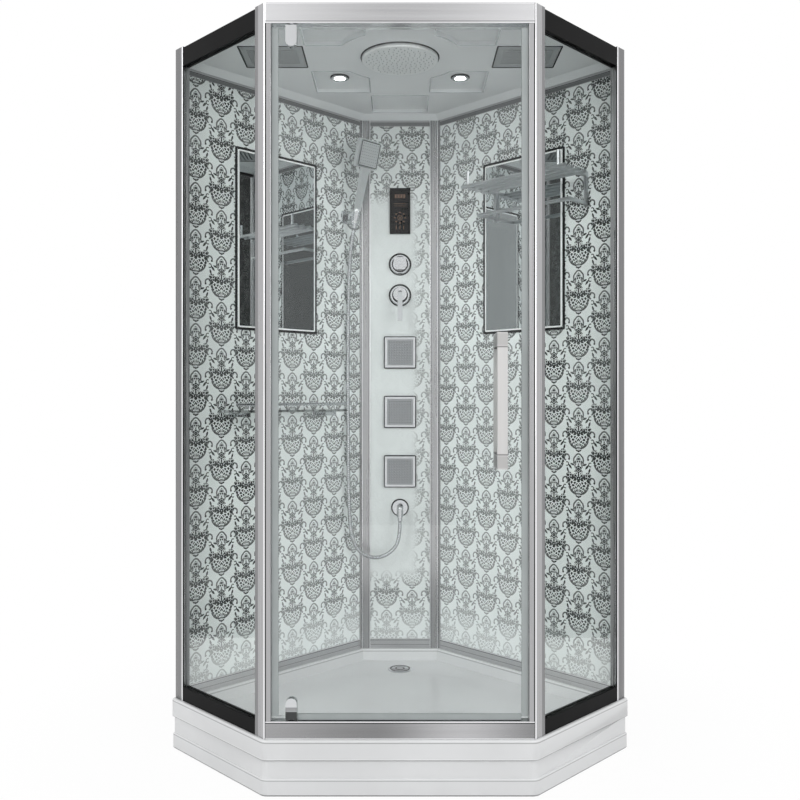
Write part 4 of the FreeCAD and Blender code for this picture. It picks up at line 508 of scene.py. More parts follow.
def water_gloss(graph, shader, marks, gloss, drops, haze):
    """Roughness that grows on dried drops and with the haze."""
    hazy = graph.times_plus(marks.outputs["Haze"], haze, gloss)
    rough = graph.math("ADD", graph.times(marks.outputs["Marks"], drops), hazy)
    graph.wire(shader, roughness=rough)


def acrylic(name, rgb, gloss=0.16, tone_lines=()):
    """White sanitary acrylic with faint cloudiness and water marks, and, where tone lines are given, painted
    highlights and painted shade lines.
    """
    material, graph, shader = new_material(name, specular_ior_level=0.5)
    marks = graph.group(shared("water"), vector=graph.place(), spread=38.0)
    tone = graph.ramp(marks.outputs["Haze"], 0.3, 0.7)
    cloudy = graph.blend(tone, scaled(rgb, 0.955), scaled(rgb, 1.03))
    # The plain tone stays below one so that the painted highlights can be lighter.
    plain_tone = 0.93
    lined = with_tone_lines(graph, plain_tone, "Z", tone_lines)
    ripple = graph.noise(graph.place(), 9.0, detail=1.0)
    graph.wire(shader, base_color=graph.blend(lined, BLACK, cloudy),
               normal=graph.bump(ripple, strength=0.05, distance=0.004))
    water_gloss(graph, shader, marks, gloss, drops=0.06, haze=0.08)
    return material


def drawn_metal(name, rgb, stretch, gloss=0.3, contrast=0.16, level=0.86, across="Z", tone_lines=(), lobes=()):
    """Satin metal with drawn lines; stretch is small along the lines."""
    material, graph, shader = new_material(name, metallic=1.0)
    grain = graph.group(shared("grain"), vector=graph.place(scale=stretch), fineness=90.0)
    lines = grain.outputs["Lines"]
    cloud_share = 0.12
    dark_end = level - contrast / 2 - cloud_share / 2
    tone = graph.math("ADD", graph.times(lines, contrast),
                      graph.times_plus(grain.outputs["Clouds"], cloud_share, dark_end))
    # Tone lines and lobes add painted highlights, painted shade and painted reflections.
    tone = with_painted_sheen(graph, with_tone_lines(graph, tone, across, tone_lines), lobes)
    graph.wire(shader, base_color=graph.shade(tone, rgb), roughness=graph.around(lines, gloss, 0.14),
               normal=graph.bump(lines, strength=0.06, distance=0.0006))
    return material


def polished(name, rgb, gloss=0.07):
    """Chrome with slight haze and dried drops."""
    material, graph, shader = new_material(name, metallic=1.0)
    marks = graph.group(shared("water"), vector=graph.place(), spread=150.0)
    tone = graph.times_plus(marks.outputs["Haze"], 0.16, 0.9)
    graph.wire(shader, base_color=graph.shade(tone, rgb))
    water_gloss(graph, shader, marks, gloss, drops=0.05, haze=0.06)
    return material


def flat_haze(graph, shader, rgb, least):
    """Flat clear surface whose colour a faint haze dims."""
    marks = graph.group(shared("water"), vector=graph.place(), spread=24.0)
    hazy = graph.blend(marks.outputs["Haze"], scaled(rgb), scaled(rgb, least))
    graph.wire(shader, base_color=hazy, roughness=0.0)


def silvered(name, rgb):
    """Silvered glass with a faint haze."""
    material, graph, shader = new_material(name, metallic=1.0)
    flat_haze(graph, shader, rgb, least=0.96)
    return material


def moulded(name, rgb, gloss=0.35, relief=0.05, shine=0.5):
    """Moulded plastic with a fine skin."""
    material, graph, shader = new_material(name, specular_ior_level=shine)
    skin = graph.noise(graph.place(), 900.0, detail=2.0)
    clouds = graph.noise(graph.place(), 14.0)
    tone = graph.times_plus(clouds, 0.22, 0.86)
    graph.wire(shader, base_color=graph.shade(tone, rgb), roughness=graph.around(clouds, gloss, 0.16),
               normal=graph.bump(skin, strength=relief, distance=0.0004))
    return material


def clear_glass(name, rgb):
    """Clear glass whose shadow lets the light through."""
    material, graph, shader = new_material(name, transmission_weight=1.0, ior=1.46, metallic=0.0)
    flat_haze(graph, shader, rgb, least=0.985)
    open_air = graph.add("ShaderNodeBsdfTransparent")
    graph.wire(open_air, color=(0.93, 0.955, 0.95, 1))
    shadow = graph.add("ShaderNodeLightPath").outputs["Is Shadow Ray"]
    graph.surface(shadow, shader, open_air)
    return material


def printed_glass(name, turn, shift, fade=False):
    """Glass printed behind with the damask, paler near the tray and the column; fade clears the middle."""
    material, graph, shader = new_material(name, specular_ior_level=0.4, ior=1.5)
    where = graph.place(turn, shift)
    parts = graph.axes(where)
    across = parts["X"]
    up = parts["Z"]
    print_of = graph.group(shared("damask"), across=across, up=up,
                           pitch=sizes().damask_pitch, period=sizes().damask_period)
    bold_ink = 0.86
    fine_ink = 0.95
    bold = graph.times(print_of.outputs["Bold"], bold_ink)
    fine = graph.times(print_of.outputs["Fine"], fine_ink)
    patches = graph.ramp(graph.noise(where, 4.5), 0.32, 0.68, first=0.9)
    near_column = graph.ramp(across, 0.57, 0.68, first=0.84)
    near_tray = graph.ramp(graph.minus(up, shift[2]), 0.22, 0.38, first=0.5)
    mask = graph.most(bold, fine)
    for weaker in (patches, near_column, near_tray):
        mask = graph.times(mask, weaker)
    ground = finishes().wall_ground
    if fade:
        upper = graph.ramp(up, 1.86, 1.94)
        lower = graph.ramp(up, 0.44, 0.54, first=1.0, last=0.0)
        side = graph.ramp(across, 0.04, 0.085, first=0.05, last=0.7)
        kept = graph.most(graph.most(upper, lower), side)
        mask = graph.times(mask, kept)
        ground = scaled(ground, 0.88)[:3]
    clouds = graph.ramp(graph.noise(where, 2.2, detail=2.0), 0.3, 0.7)
    base = graph.blend(clouds, scaled(ground, 0.93), scaled(ground, 1.03))
    graph.wire(shader, base_color=graph.blend(mask, base, scaled(finishes().wall_print)),
               roughness=graph.times_plus(mask, 0.04, 0.025))
    return material


def lamp_glass(name):
    """Frosted lens of a lit spot."""
    material, graph, shader = new_material(name, roughness=0.4)
    frost = graph.noise(graph.place(), 220.0, detail=2.0)
    tone = graph.times_plus(frost, 0.2, 0.85)
    warm = graph.blend(tone, (0.75, 0.75, 0.72, 1), (1, 1, 0.98, 1))
    graph.wire(shader, base_color=warm, emission_color=warm, emission_strength=14.0)
    return material


def lit_mark(name, rgb):
    """Lit mark behind the display's glass."""
    material, graph, shader = new_material(name, roughness=0.25)
    grain = graph.noise(graph.place(), 600.0, detail=2.0)
    tone = graph.times_plus(grain, 0.5, 0.6)
    lit = graph.shade(tone, rgb)
    graph.wire(shader, base_color=lit, emission_color=lit, emission_strength=0.1)
    return material


# Tone lines of a profile, each with its middle, half width and tone: painted highlights and painted shade
# lines along edges, folds and lips, painted reflections in the clamp, and on the handle darker end blocks and
# joints
FRONT_POST_FACE = 0.018
OUTER_POST_RETURN = 0.0216
HANDLE_END = 0.0395
PAINTED_HIGHLIGHT = 1.0
PAINTED_SHADE = 0.06


def tone_lines_from(start, *lines):
    """Tone lines whose middles are given as offsets from a start."""
    return [(start + offset, half, tone) for offset, half, tone in lines]


def post_painted_light():
    """Upright painted highlights and painted shade lines of the front posts, outer posts and corner profiles,
    with painted shade over a wide band of each outer post.
    """
    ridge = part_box("right_front_post")[0].x + FRONT_POST_FACE
    outer_low, outer_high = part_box("right_outer_post")
    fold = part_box("right_corner_profile")[0].x
    return (tone_lines_from(ridge, (-0.0036, 0.0019, PAINTED_SHADE), (0.0006, 0.0025, PAINTED_HIGHLIGHT), (0.025, 0.006, 0.3))
            + tone_lines_from(outer_high.x, (-0.013, 0.0115, 0.25))
            + tone_lines_from(outer_low.x + OUTER_POST_RETURN, (0, 0.002, PAINTED_HIGHLIGHT), (-0.0038, 0.0019, PAINTED_SHADE))
            + tone_lines_from(outer_high.x, (-0.0012, 0.0016, PAINTED_SHADE))
            + tone_lines_from(fold, (0.0015, 0.0014, PAINTED_HIGHLIGHT), (0.0045, 0.0014, 0.15))
            + tone_lines_from(fold, (0.030, 0.0014, PAINTED_HIGHLIGHT), (0.033, 0.0014, 0.12)))


def header_painted_light():
    # Painted highlights near the header's lower edge and its top, with a painted shade line above the lower
    # one.
    low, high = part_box("door_header")
    return (tone_lines_from(low.z, (0.0022, 0.0016, PAINTED_HIGHLIGHT), (0.0056, 0.0011, 0.3))
            + tone_lines_from(high.z, (-0.003, 0.0014, PAINTED_HIGHLIGHT)))


def sill_painted_light():
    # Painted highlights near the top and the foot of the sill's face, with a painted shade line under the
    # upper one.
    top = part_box("door_threshold")[1].z
    return tone_lines_from(top, (-0.0018, 0.0016, PAINTED_HIGHLIGHT), (-0.0052, 0.0013, PAINTED_SHADE), (-0.0475, 0.0013, PAINTED_HIGHLIGHT))


def channel_painted_light():
    """Painted highlights and painted shade lines of the channels over and under the wall glass, with painted
    shade over the lower part of the top channel.
    """
    low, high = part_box("wall_top_channels")
    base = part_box("wall_base_channels")[1].z
    return (tone_lines_from(low.z, (0.006, 0.0062, 0.3)) + tone_lines_from(high.z, (-0.009, 0.0012, PAINTED_SHADE))
            + tone_lines_from(base, (-0.0016, 0.0014, PAINTED_HIGHLIGHT), (-0.0048, 0.0013, 0.15), (-0.022, 0.0012, 0.3)))


def tray_painted_light():
    """Painted highlights and painted shade lines along the apron's bands and the tray's lip and rim, and
    painted shade along the apron's foot.
    """
    lip, rim = (corner.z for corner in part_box("shower_tray"))
    return (tone_lines_from(lip, (-0.0008, 0.002, 0.28), (0.003, 0.0016, PAINTED_HIGHLIGHT))
            + tone_lines_from(sizes().plinth_height, (-0.001, 0.0024, PAINTED_HIGHLIGHT), (-0.0056, 0.0016, 0.6))
            + tone_lines_from(rim, (-0.0025, 0.002, PAINTED_HIGHLIGHT), (-0.0078, 0.0018, 0.55))
            + tone_lines_from(0, (0.004, 0.0026, 0.4)))


def handle_seams():
    """Duller end blocks of the handle and the joints between them and its bar."""
    low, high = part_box("door_handle")
    block_half = 0.0195
    ends = (tone_lines_from(high.z, (-block_half, block_half, 0.52))
            + tone_lines_from(low.z, (block_half, block_half, 0.52)))
    joints = tone_lines_from(high.z, (-HANDLE_END, 0.0022, 0.3)) + tone_lines_from(low.z, (HANDLE_END, 0.0022, 0.3))
    return ends + joints


def clamp_painted_reflections():
    """Painted dark reflections in the lower pivot clamp."""
    return tone_lines_from(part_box("door_threshold")[1].z, (0.013, 0.016, 0.1), (0.033, 0.006, 0.5))


MATERIALS = {}


def metal_finishes(kit):
    """Drawn metals of the framework, the handle, the clamps and the hidden works."""
    upright = (1.0, 1.0, 0.02)
    level = (0.02, 1.0, 1.0)
    even = (1, 1, 1)
    sill_sheen_lobes = [(0.17, 0.24, 1.05), (-0.42, 0.36, 0.5)]
    # The framework's pieces share the aluminium colour; their levels darken it piece by piece, which is
    # painted shade.
    return {
        "post": lambda: drawn_metal("upright aluminium", kit.aluminium, upright, gloss=0.28, contrast=0.1,
                                    level=0.5, across="X", tone_lines=post_painted_light()),
        "header": lambda: drawn_metal("brushed header", kit.aluminium, level, gloss=0.24, contrast=0.1,
                                      level=0.82, tone_lines=header_painted_light()),
        "sill": lambda: drawn_metal("brushed sill", kit.aluminium, level, gloss=0.26, contrast=0.05,
                                    level=0.29, tone_lines=sill_painted_light(), lobes=sill_sheen_lobes),
        "channel": lambda: drawn_metal("level aluminium", kit.aluminium, level, gloss=0.32, contrast=0.1,
                                       level=0.66, tone_lines=channel_painted_light()),
        "clamp": lambda: drawn_metal("clamp chrome", kit.chrome, level, gloss=0.14, contrast=0.08,
                                     level=0.96, tone_lines=clamp_painted_reflections()),
        "handle": lambda: drawn_metal("satin handle", from_screen(244, 243, 242), upright, gloss=0.42,
                                      contrast=0.08, level=0.66, tone_lines=handle_seams()),
        "steel": lambda: drawn_metal("zinc steel", from_screen(186, 188, 190), even, gloss=0.45,
                                     contrast=0.3),
        "brass": lambda: drawn_metal("cast brass", from_screen(214, 184, 120), even, gloss=0.4,
                                     contrast=0.2),
        "pipe": lambda: drawn_metal("drawn pipe", from_screen(206, 160, 122), upright, gloss=0.3,
                                    contrast=0.12),
    }


def plastic_finishes(kit):
    """Moulded plastics, rubbers and enamels."""
    soft = {"gloss": 0.6, "relief": 0.12, "shine": 0.3}
    return {
        "black": lambda: moulded("black enamel", kit.black_rail, gloss=0.4, relief=0.03, shine=0.08),
        "black_plastic": lambda: moulded("black plastic", from_screen(26, 26, 28), gloss=0.4),
        "white_plastic": lambda: moulded("white plastic", from_screen(214, 217, 218), gloss=0.4),
        "grille": lambda: moulded("grille plastic", from_screen(168, 172, 173), gloss=0.42),
        "display": lambda: moulded("display glass", from_screen(5, 5, 5), gloss=0.2, relief=0.01, shine=0.04),
        "rubber": lambda: moulded("nozzle rubber", from_screen(44, 46, 48), **soft),
        "pale_rubber": lambda: moulded("pale rubber", from_screen(150, 153, 154), **soft),
        "gasket": lambda: moulded("dark gasket", kit.dark_line, gloss=0.55, relief=0.1, shine=0.2),
        "seal": lambda: moulded("seal strip", from_screen(162, 168, 168), gloss=0.5, shine=0.3),
        "ground_edge": lambda: moulded("ground glass edge", from_screen(250, 252, 252), gloss=0.3),
    }


def chrome_finishes(kit):
    """Polished metals."""
    return {
        "chrome": lambda: polished("chrome", kit.chrome, gloss=0.06),
        # The highlight bevel is a bright stand-in for the highlights along the coffers and the hand shower's
        # face.
        "highlight_line": lambda: polished("highlight bevel", from_screen(240, 242, 243), gloss=0.2),
        "rack": lambda: polished("satin rack", from_screen(205, 208, 210), gloss=0.26),
        "satin_chrome": lambda: polished("satin chrome", from_screen(160, 163, 165), gloss=0.3),
        "rain_face": lambda: polished("satin rain head", from_screen(253, 254, 254), gloss=0.4),
        "hose": lambda: polished("hose steel", from_screen(178, 181, 183), gloss=0.16),
        "handset": lambda: polished("bright handset", from_screen(238, 240, 241), gloss=0.32),
    }


def glass_finishes(kit):
    """Acrylic, glass, mirrors and lights."""
    print_start = REAR_Y * DIAGONAL - 0.0243
    return {
        "acrylic": lambda: acrylic("sanitary acrylic", kit.acrylic, gloss=0.16, tone_lines=tray_painted_light()),
        "ceiling": lambda: acrylic("ceiling acrylic", kit.ceiling, gloss=0.3),
        "mirror": lambda: silvered("mirror silver", kit.silver),
        "door_glass": lambda: clear_glass("door glass", kit.door_glass),
        "side_glass": lambda: clear_glass("side glass", kit.side_glass),
        "left_print": lambda: printed_glass("left print", math.radians(135), (print_start, 0, 0.0825)),
        "right_print": lambda: printed_glass("right print", math.radians(45), (print_start, 0, -0.0212)),
        "column_print": lambda: printed_glass("column print", 0, (0.0025, 0, 0.072), fade=True),
        "lamp": lambda: lamp_glass("lamp lens"),
        "mark": lambda: lit_mark("display mark", kit.icon),
    }


def finish_of(name):
    """A finish by its name, made on first use."""
    if name not in MATERIALS:
        makers = {}
        for family in (metal_finishes, plastic_finishes, chrome_finishes, glass_finishes):
            makers.update(family(finishes()))
        MATERIALS[name] = makers[name]()
    return MATERIALS[name]


# Meshes
def coat(finish, *nodes):
    """Give CAD nodes a finish."""
    for node in nodes:
        slots = frame["nodes"][node].data.materials
        slots.clear()
        slots.append(finish_of(finish))


def soften(width, *nodes):
    """Round the edges of CAD nodes so that they catch the light."""
    for node in nodes:
        piece = frame["nodes"][node]
        weld = piece.modifiers.new("join corners", "WELD")
        weld.merge_threshold = JOIN_DISTANCE
        edge = piece.modifiers.new("round edges", "BEVEL")
        edge.width = width
        edge.segments = 2
        edge.limit_method = "ANGLE"
        edge.angle_limit = math.radians(40)
        edge.harden_normals = False
        edge.use_clamp_overlap = True


def link(name, data):
    """New object in the scene."""
    made = bpy.data.objects.new(name, data)
    bpy.context.scene.collection.objects.link(made)
    return made


def mesh_piece(name, mesh, finish, body):
    """Object for a finished mesh, riding a body."""
    piece = link(name, mesh)
    mesh.materials.clear()
    mesh.materials.append(finish_of(finish))
    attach(piece, body)
    return piece


def mesh_from(builder, name):
    """Mesh of what a builder holds."""
    mesh = bpy.data.meshes.new(name)
    builder.to_mesh(mesh)
    builder.free()
    return mesh


def closed_mesh_from(builder, name):
    """Mesh of closed shapes, with their faces turned outward."""
    bmesh.ops.recalc_face_normals(builder, faces=builder.faces)
    return mesh_from(builder, name)


def mesh_of_host(host):
    """Plain mesh of an object with its modifiers; the object is removed."""
    view = bpy.context.evaluated_depsgraph_get()
    mesh = bpy.data.meshes.new_from_object(host.evaluated_get(view))
    bpy.data.objects.remove(host)
    return mesh


def bridge(builder, loops):
    """Faces from each closed loop of corners to the next, and from the last to the first."""
    for first, second in zip(loops, loops[1:] + loops[:1]):
        for index in range(len(first)):
            after = (index + 1) % len(first)
            builder.faces.new((first[index], first[after], second[after], second[index]))


def nozzle_tree():
    """Geometry nodes: nozzles in rows and columns, or in a spiral when there is one row."""
    tree = bpy.data.node_groups.new("nozzle field", "GeometryNodeTree")
    inputs = {"Columns": "Int", "Rows": "Int", "Spacing": "Float", "Radius": "Float", "Rise": "Float",
              "Material": "Material"}
    for label, kind in inputs.items():
        tree.interface.new_socket(label, in_out="INPUT", socket_type="NodeSocket" + kind)
    tree.interface.new_socket("Geometry", in_out="OUTPUT", socket_type="NodeSocketGeometry")
    graph = Graph(tree)
    given = graph.add("NodeGroupInput").outputs
    result = graph.add("NodeGroupOutput").inputs
    count = graph.times(given["Columns"], given["Rows"])
    points = graph.add("GeometryNodePoints")
    index = graph.add("GeometryNodeInputIndex").outputs[0]
    row = graph.math("FLOOR", graph.over(index, given["Columns"]))
    column = graph.minus(index, graph.times(row, given["Columns"]))
    centred = []
    for step, total in ((column, given["Columns"]), (row, given["Rows"])):
        middle = graph.times(graph.minus(total, 1.0), 0.5)
        centred.append(graph.times(graph.minus(step, middle), given["Spacing"]))
    golden_turn = math.pi * (3 - math.sqrt(5))
    reach = graph.times(graph.math("SQRT", graph.math("ADD", index, 0.5)), given["Spacing"])
    swing = graph.times(index, golden_turn)
    spiral = (graph.times(reach, graph.math("COSINE", swing)),
              graph.times(reach, graph.math("SINE", swing)))
    is_field = graph.above(given["Rows"], 1.5)
    place = [graph.times_plus(is_field, graph.minus(ranked, spun), spun)
             for spun, ranked in zip(spiral, centred)]
    graph.wire(points, count=count, position=graph.point(*place))
    nozzle = graph.add("GeometryNodeMeshCone")
    tip_share = 0.6
    tip_radius = graph.times(given["Radius"], tip_share)
    graph.wire(nozzle, vertices=10, radius_top=tip_radius, radius_bottom=given["Radius"], depth=given["Rise"])
    spread = graph.add("GeometryNodeInstanceOnPoints")
    graph.wire(spread, points=points.outputs[0], instance=nozzle.outputs["Mesh"])
    real = graph.add("GeometryNodeRealizeInstances")
    graph.wire(real, geometry=spread.outputs[0])
    paint = graph.add("GeometryNodeSetMaterial")
    graph.wire(paint, geometry=real.outputs[0], material=given["Material"])
    graph.feed(result["Geometry"], paint.outputs[0])
    return tree


def grow(name, tree, place, finish, body, **values):
    """Turn a geometry nodes tree into a plain mesh in its place."""
    host = link(name, bpy.data.meshes.new(name))
    growth = host.modifiers.new("grow", "NODES")
    growth.node_group = tree
    settings = {label.capitalize(): setting for label, setting in values.items()}
    settings["Material"] = finish_of(finish)
    for item in tree.interface.items_tree:
        if item.in_out == "INPUT" and item.name in settings:
            growth[item.identifier] = settings[item.name]
    mesh = mesh_of_host(host)
    mesh.transform(place)
    mesh.name = name
    return mesh_piece(name, mesh, finish, body)


def facing(middle, outward, up=UP):
    """Place whose Z axis points outward and whose Y axis is as near up as it can be."""
    ahead = Vector(outward).normalized()
    across = up.cross(ahead).normalized()
    rise = ahead.cross(across)
    turn = Matrix((across, rise, ahead)).transposed().to_4x4()
    return Matrix.Translation(middle) @ turn


def on_column(z):
    """Place on the column's face."""
    return facing((0, COLUMN_FACE, z), FRONT)


def under_roof(x, y, z):
    """Place that faces down."""
    return facing((x, y, z), DOWN, BACK)


Extent = namedtuple("Extent", "low high middle half")


def extent(node):
    """Corners of a node's box, its middle and half its size."""
    low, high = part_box(node)
    return Extent(low, high, (low + high) / 2, (high - low) / 2)


def rounded(half_x, half_y, radius, steps=8):
    """Outline of a rectangle with round corners, or of a circle when the radius is half its width."""
    points = []
    # A corner stops just short of a quarter turn, so that no two points of a circle fall together
    divisions = steps + 0.001
    for quarter, (side_x, side_y) in enumerate(((1, 1), (-1, 1), (-1, -1), (1, -1))):
        for step in range(steps + 1):
            turn = math.pi / 2 * (quarter + step / divisions)
            points.append((side_x * (half_x - radius) + radius * math.cos(turn),
                           side_y * (half_y - radius) + radius * math.sin(turn)))
    return points


Rim = namedtuple("Rim", "place half_x half_y corner line depth")


def round_rim(place, radius, line, depth):
    return Rim(place, radius, radius, radius, line, depth)


def rim_piece(name, rims, finish, body):
    """Thin raised frames of a line's width and a depth, around openings with round corners."""
    builder = bmesh.new()
    for rim in rims:
        loops = []
        for wider, level in ((0, 0), (rim.line, 0), (rim.line, rim.depth), (0, rim.depth)):
            points = rounded(rim.half_x + wider, rim.half_y + wider, rim.corner + wider)
            loops.append([builder.verts.new(rim.place @ Vector((x, y, level))) for x, y in points])
        bridge(builder, loops)
    piece = mesh_piece(name, closed_mesh_from(builder, name), finish, body)


# Hose: its route in metres, from the elbow to the hand shower
HOSE_ROUTE = [
    (0, 0.3227, 0.634),
    (-0.001, 0.320, 0.592),
    (-0.010, 0.316, 0.546),
    (-0.045, 0.307, 0.512),
    (-0.095, 0.297, 0.500),
    (-0.146, 0.288, 0.522),
    (-0.175, 0.283, 0.574),
    (-0.183, 0.283, 0.645),
    (-0.187, 0.286, 0.775),
    (-0.189, 0.290, 0.965),
    (-0.190, 0.2925, 1.165),
    (-0.189, 0.294, 1.365),
    (-0.1855, 0.294, 1.530),
    (-0.1787, 0.2909, 1.6441),
    (-0.167, 0.2792, 1.7017),
]


def smooth_line(route):
    """Points of the smooth line that a route controls."""
    curve = bpy.data.curves.new("hose line", "CURVE")
    curve.dimensions = "3D"
    curve.resolution_u = 40
    spline = curve.splines.new("NURBS")
    spline.points.add(len(route) - 1)
    for control, place in zip(spline.points, route):
        control.co = (*place, 1)
    spline.order_u = 3
    spline.use_endpoint_u = True
    mesh = mesh_of_host(link("hose line", curve))
    points = [vertex.co.copy() for vertex in mesh.vertices]
    bpy.data.meshes.remove(mesh)
    return points


def along(points, distances):
    """Places and directions at growing distances along a line of points."""
    found = []
    walked = 0.0
    index = 0
    for distance in distances:
        step = points[index + 1] - points[index]
        while distance > walked + step.length and index < len(points) - 2:
            walked += step.length
            index += 1
            step = points[index + 1] - points[index]
        share = min(1.0, (distance - walked) / step.length)
        found.append((points[index] + step * share, step.normalized()))
    return found


def ribbed_tube(name, points, crest, root, bore, ribs, sides=16):
    """Closed ribbed tube with a bore along a line."""
    total = sum((after - before).length for before, after in zip(points, points[1:]))
    plain = 2 * crest
    pitch = (total - 2 * plain) / ribs
    shares = ((0.15, root), (0.35, crest), (0.65, crest), (0.85, root))
    stations = [(0.0, root), (plain, root)]
    stations += [(plain + (rib + share) * pitch, radius) for rib in range(ribs) for share, radius in shares]
    stations += [(total - plain, root), (total, root)]
    places = along(points, [distance for distance, _ in stations])
    steady = BACK
    builder = bmesh.new()

    def section(place, ahead, radius):
        across = (steady - ahead * steady.dot(ahead)).normalized()
        rise = ahead.cross(across)
        turns = [2 * math.pi * side / sides for side in range(sides)]
        spokes = [across * math.cos(turn) + rise * math.sin(turn) for turn in turns]
        return [builder.verts.new(place + spoke * radius) for spoke in spokes]

    outside = [section(place, ahead, radius) for (place, ahead), (_, radius) in zip(places, stations)]
    inside = [section(place, ahead, bore) for place, ahead in places[::4] + [places[-1]]]
    bridge(builder, outside + inside[::-1])
    mesh = closed_mesh_from(builder, name)
    mesh.shade_smooth()
    return mesh, total


# Pieces
class CABIN_OT_hose(bpy.types.Operator):
    """Make the ribbed hose between the elbow and the hand shower"""
    bl_idname = "cabin.hose"
    bl_label = "Shower hose"

    def execute(self, context):
        points = smooth_line(HOSE_ROUTE)
        kit = sizes()
        mesh, total = ribbed_tube("ribbed_hose", points, crest=kit.hose_radius, root=kit.hose_root,
                                  bore=kit.hose_bore, ribs=kit.hose_ribs)
        hose = link("ribbed_hose", mesh)
        mesh.materials.append(finish_of("hose"))
        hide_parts("shower_hose")
        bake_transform(hose)
        coat("chrome", "hose_cone", "hose_elbow")
        return {"FINISHED"}


class CABIN_OT_framework(bpy.types.Operator):
    """Finish the posts, rails and channels"""
    bl_idname = "cabin.framework"
    bl_label = "Posts and rails"

    def execute(self, context):
        posts = ("left_front_post", "right_front_post", "left_outer_post", "right_outer_post",
                 "left_corner_profile", "right_corner_profile")
        rails = ("door_header", "door_threshold", "wall_base_channels", "wall_top_channels")
        black = ("left_top_rail", "right_top_rail", "left_bottom_rail", "right_bottom_rail")
        coat("post", *posts)
        coat("header", "door_header")
        coat("sill", "door_threshold")
        coat("channel", "wall_base_channels", "wall_top_channels")
        coat("black", *black)
        soften(sizes().edge_round, *posts, *rails, *black)
        return {"FINISHED"}


class CABIN_OT_glazing(bpy.types.Operator):
    """Finish the clear glass and the door seals"""
    bl_idname = "cabin.glazing"
    bl_label = "Clear glass"

    def execute(self, context):
        coat("side_glass", "left_side_glass", "right_side_glass")
        coat("door_glass", "door_glass", "glass_shelf")
        coat("seal", "door_seals")
        return {"FINISHED"}


class CABIN_OT_walls(bpy.types.Operator):
    """Print the walls and silver the mirrors"""
    bl_idname = "cabin.walls"
    bl_label = "Printed walls"

    def execute(self, context):
        coat("left_print", "left_wall_panel")
        coat("right_print", "right_wall_panel")
        coat("column_print", "column_panel")
        coat("mirror", "left_mirror", "right_mirror")
        edges = []
        lines = []
        inset = sizes().mirror_bevel
        gap = 0.0002
        for node, side in (("left_mirror", 1), ("right_mirror", -1)):
            face = facing(extent(node).middle, (side, -1, 0))
            corners = [face.inverted() @ vertex.co for vertex in frame["nodes"][node].data.vertices]
            half_width, half_height, front = (max(corner[axis] for corner in corners) for axis in range(3))
            back = min(corner.z for corner in corners)
            rear = face @ Matrix.Translation((0, 0, back))
            edges.append(Rim(rear, half_width + gap, half_height + gap, corner=0.001, line=0.0042,
                             depth=front - back))
            fore = face @ Matrix.Translation((0, 0, front))
            lines.append(Rim(fore, half_width - inset, half_height - inset, corner=0.001, line=0.0052,
                             depth=gap))
        rim_piece("mirror_edges", edges, "gasket", CABIN)
        rim_piece("mirror_bevel_lines", lines, "ground_edge", CABIN)
        return {"FINISHED"}


class CABIN_OT_tray(bpy.types.Operator):
    """Finish the tray, its apron and the drain"""
    bl_idname = "cabin.tray"
    bl_label = "Tray"

    def execute(self, context):
        coat("acrylic", "shower_tray", "tray_apron")
        coat("white_plastic", "drain_trap")
        coat("chrome", "drain_cover")
        soften(sizes().edge_round, "shower_tray", "tray_apron", "drain_cover")
        # Dark rings on the drain cover stand for the shade in its slots.
        cover = extent("drain_cover")
        top = facing((cover.middle.x, cover.middle.y, cover.high.z), UP, BACK)
        rims = [round_rim(top, cover.half.x * share, line=0.0042, depth=0.0004) for share in (0.3, 0.74)]
        rim_piece("drain_shade_rings", rims, "gasket", "drain")
        return {"FINISHED"}


def bar(builder, width, height, depth):
    """Corners of a flat bar that faces the front."""
    corners = bmesh.ops.create_cube(builder, size=1.0)["verts"]
    bmesh.ops.scale(builder, vec=(width, depth, height), verts=corners)
    return corners


def ring(builder, radius, line, depth, sides=24):
    """Corners of a flat ring that faces the front."""
    inner = radius - line
    profile = ((radius, -depth / 2), (radius, depth / 2), (inner, depth / 2), (inner, -depth / 2))
    sections = []
    for side in range(sides):
        turn = 2 * math.pi * side / sides
        sections.append([builder.verts.new((reach * math.cos(turn), level, reach * math.sin(turn)))
                         for reach, level in profile])
    bridge(builder, sections)
    return [corner for section in sections for corner in section]


def display_marks(name, depth):
    """Marks of the display about its middle: digits, lines, a dial with its keys and three bars."""
    builder = bmesh.new()

    def put(x, z, corners):
        bmesh.ops.translate(builder, vec=(x, 0, z), verts=corners)

    digit_pitch = 0.0105
    digit_z = 0.054
    for index in range(4):
        put((index - 1.5) * digit_pitch, digit_z, bar(builder, width=0.0075, height=0.014, depth=depth))
    for z, height in ((0.026, 0.0016), (0.018, 0.0012)):
        put(0, z, bar(builder, width=0.046, height=height, depth=depth))
    dial_z = -0.026
    dial_reach = 0.0195
    put(0, dial_z, ring(builder, radius=0.0095, line=0.0024, depth=depth))
    put(0, dial_z, bar(builder, width=0.005, height=0.005, depth=depth))
    for step in range(8):
        turn = math.pi / 4 * step
        key = bar(builder, width=0.007, height=0.0042, depth=depth)
        put(dial_reach * math.cos(turn), dial_z + dial_reach * math.sin(turn), key)
    bar_pitch = 0.014
    bar_z = -0.062
    for side in (-1, 0, 1):
        put(side * bar_pitch, bar_z, bar(builder, width=0.0032, height=0.014, depth=depth))
    return closed_mesh_from(builder, name)


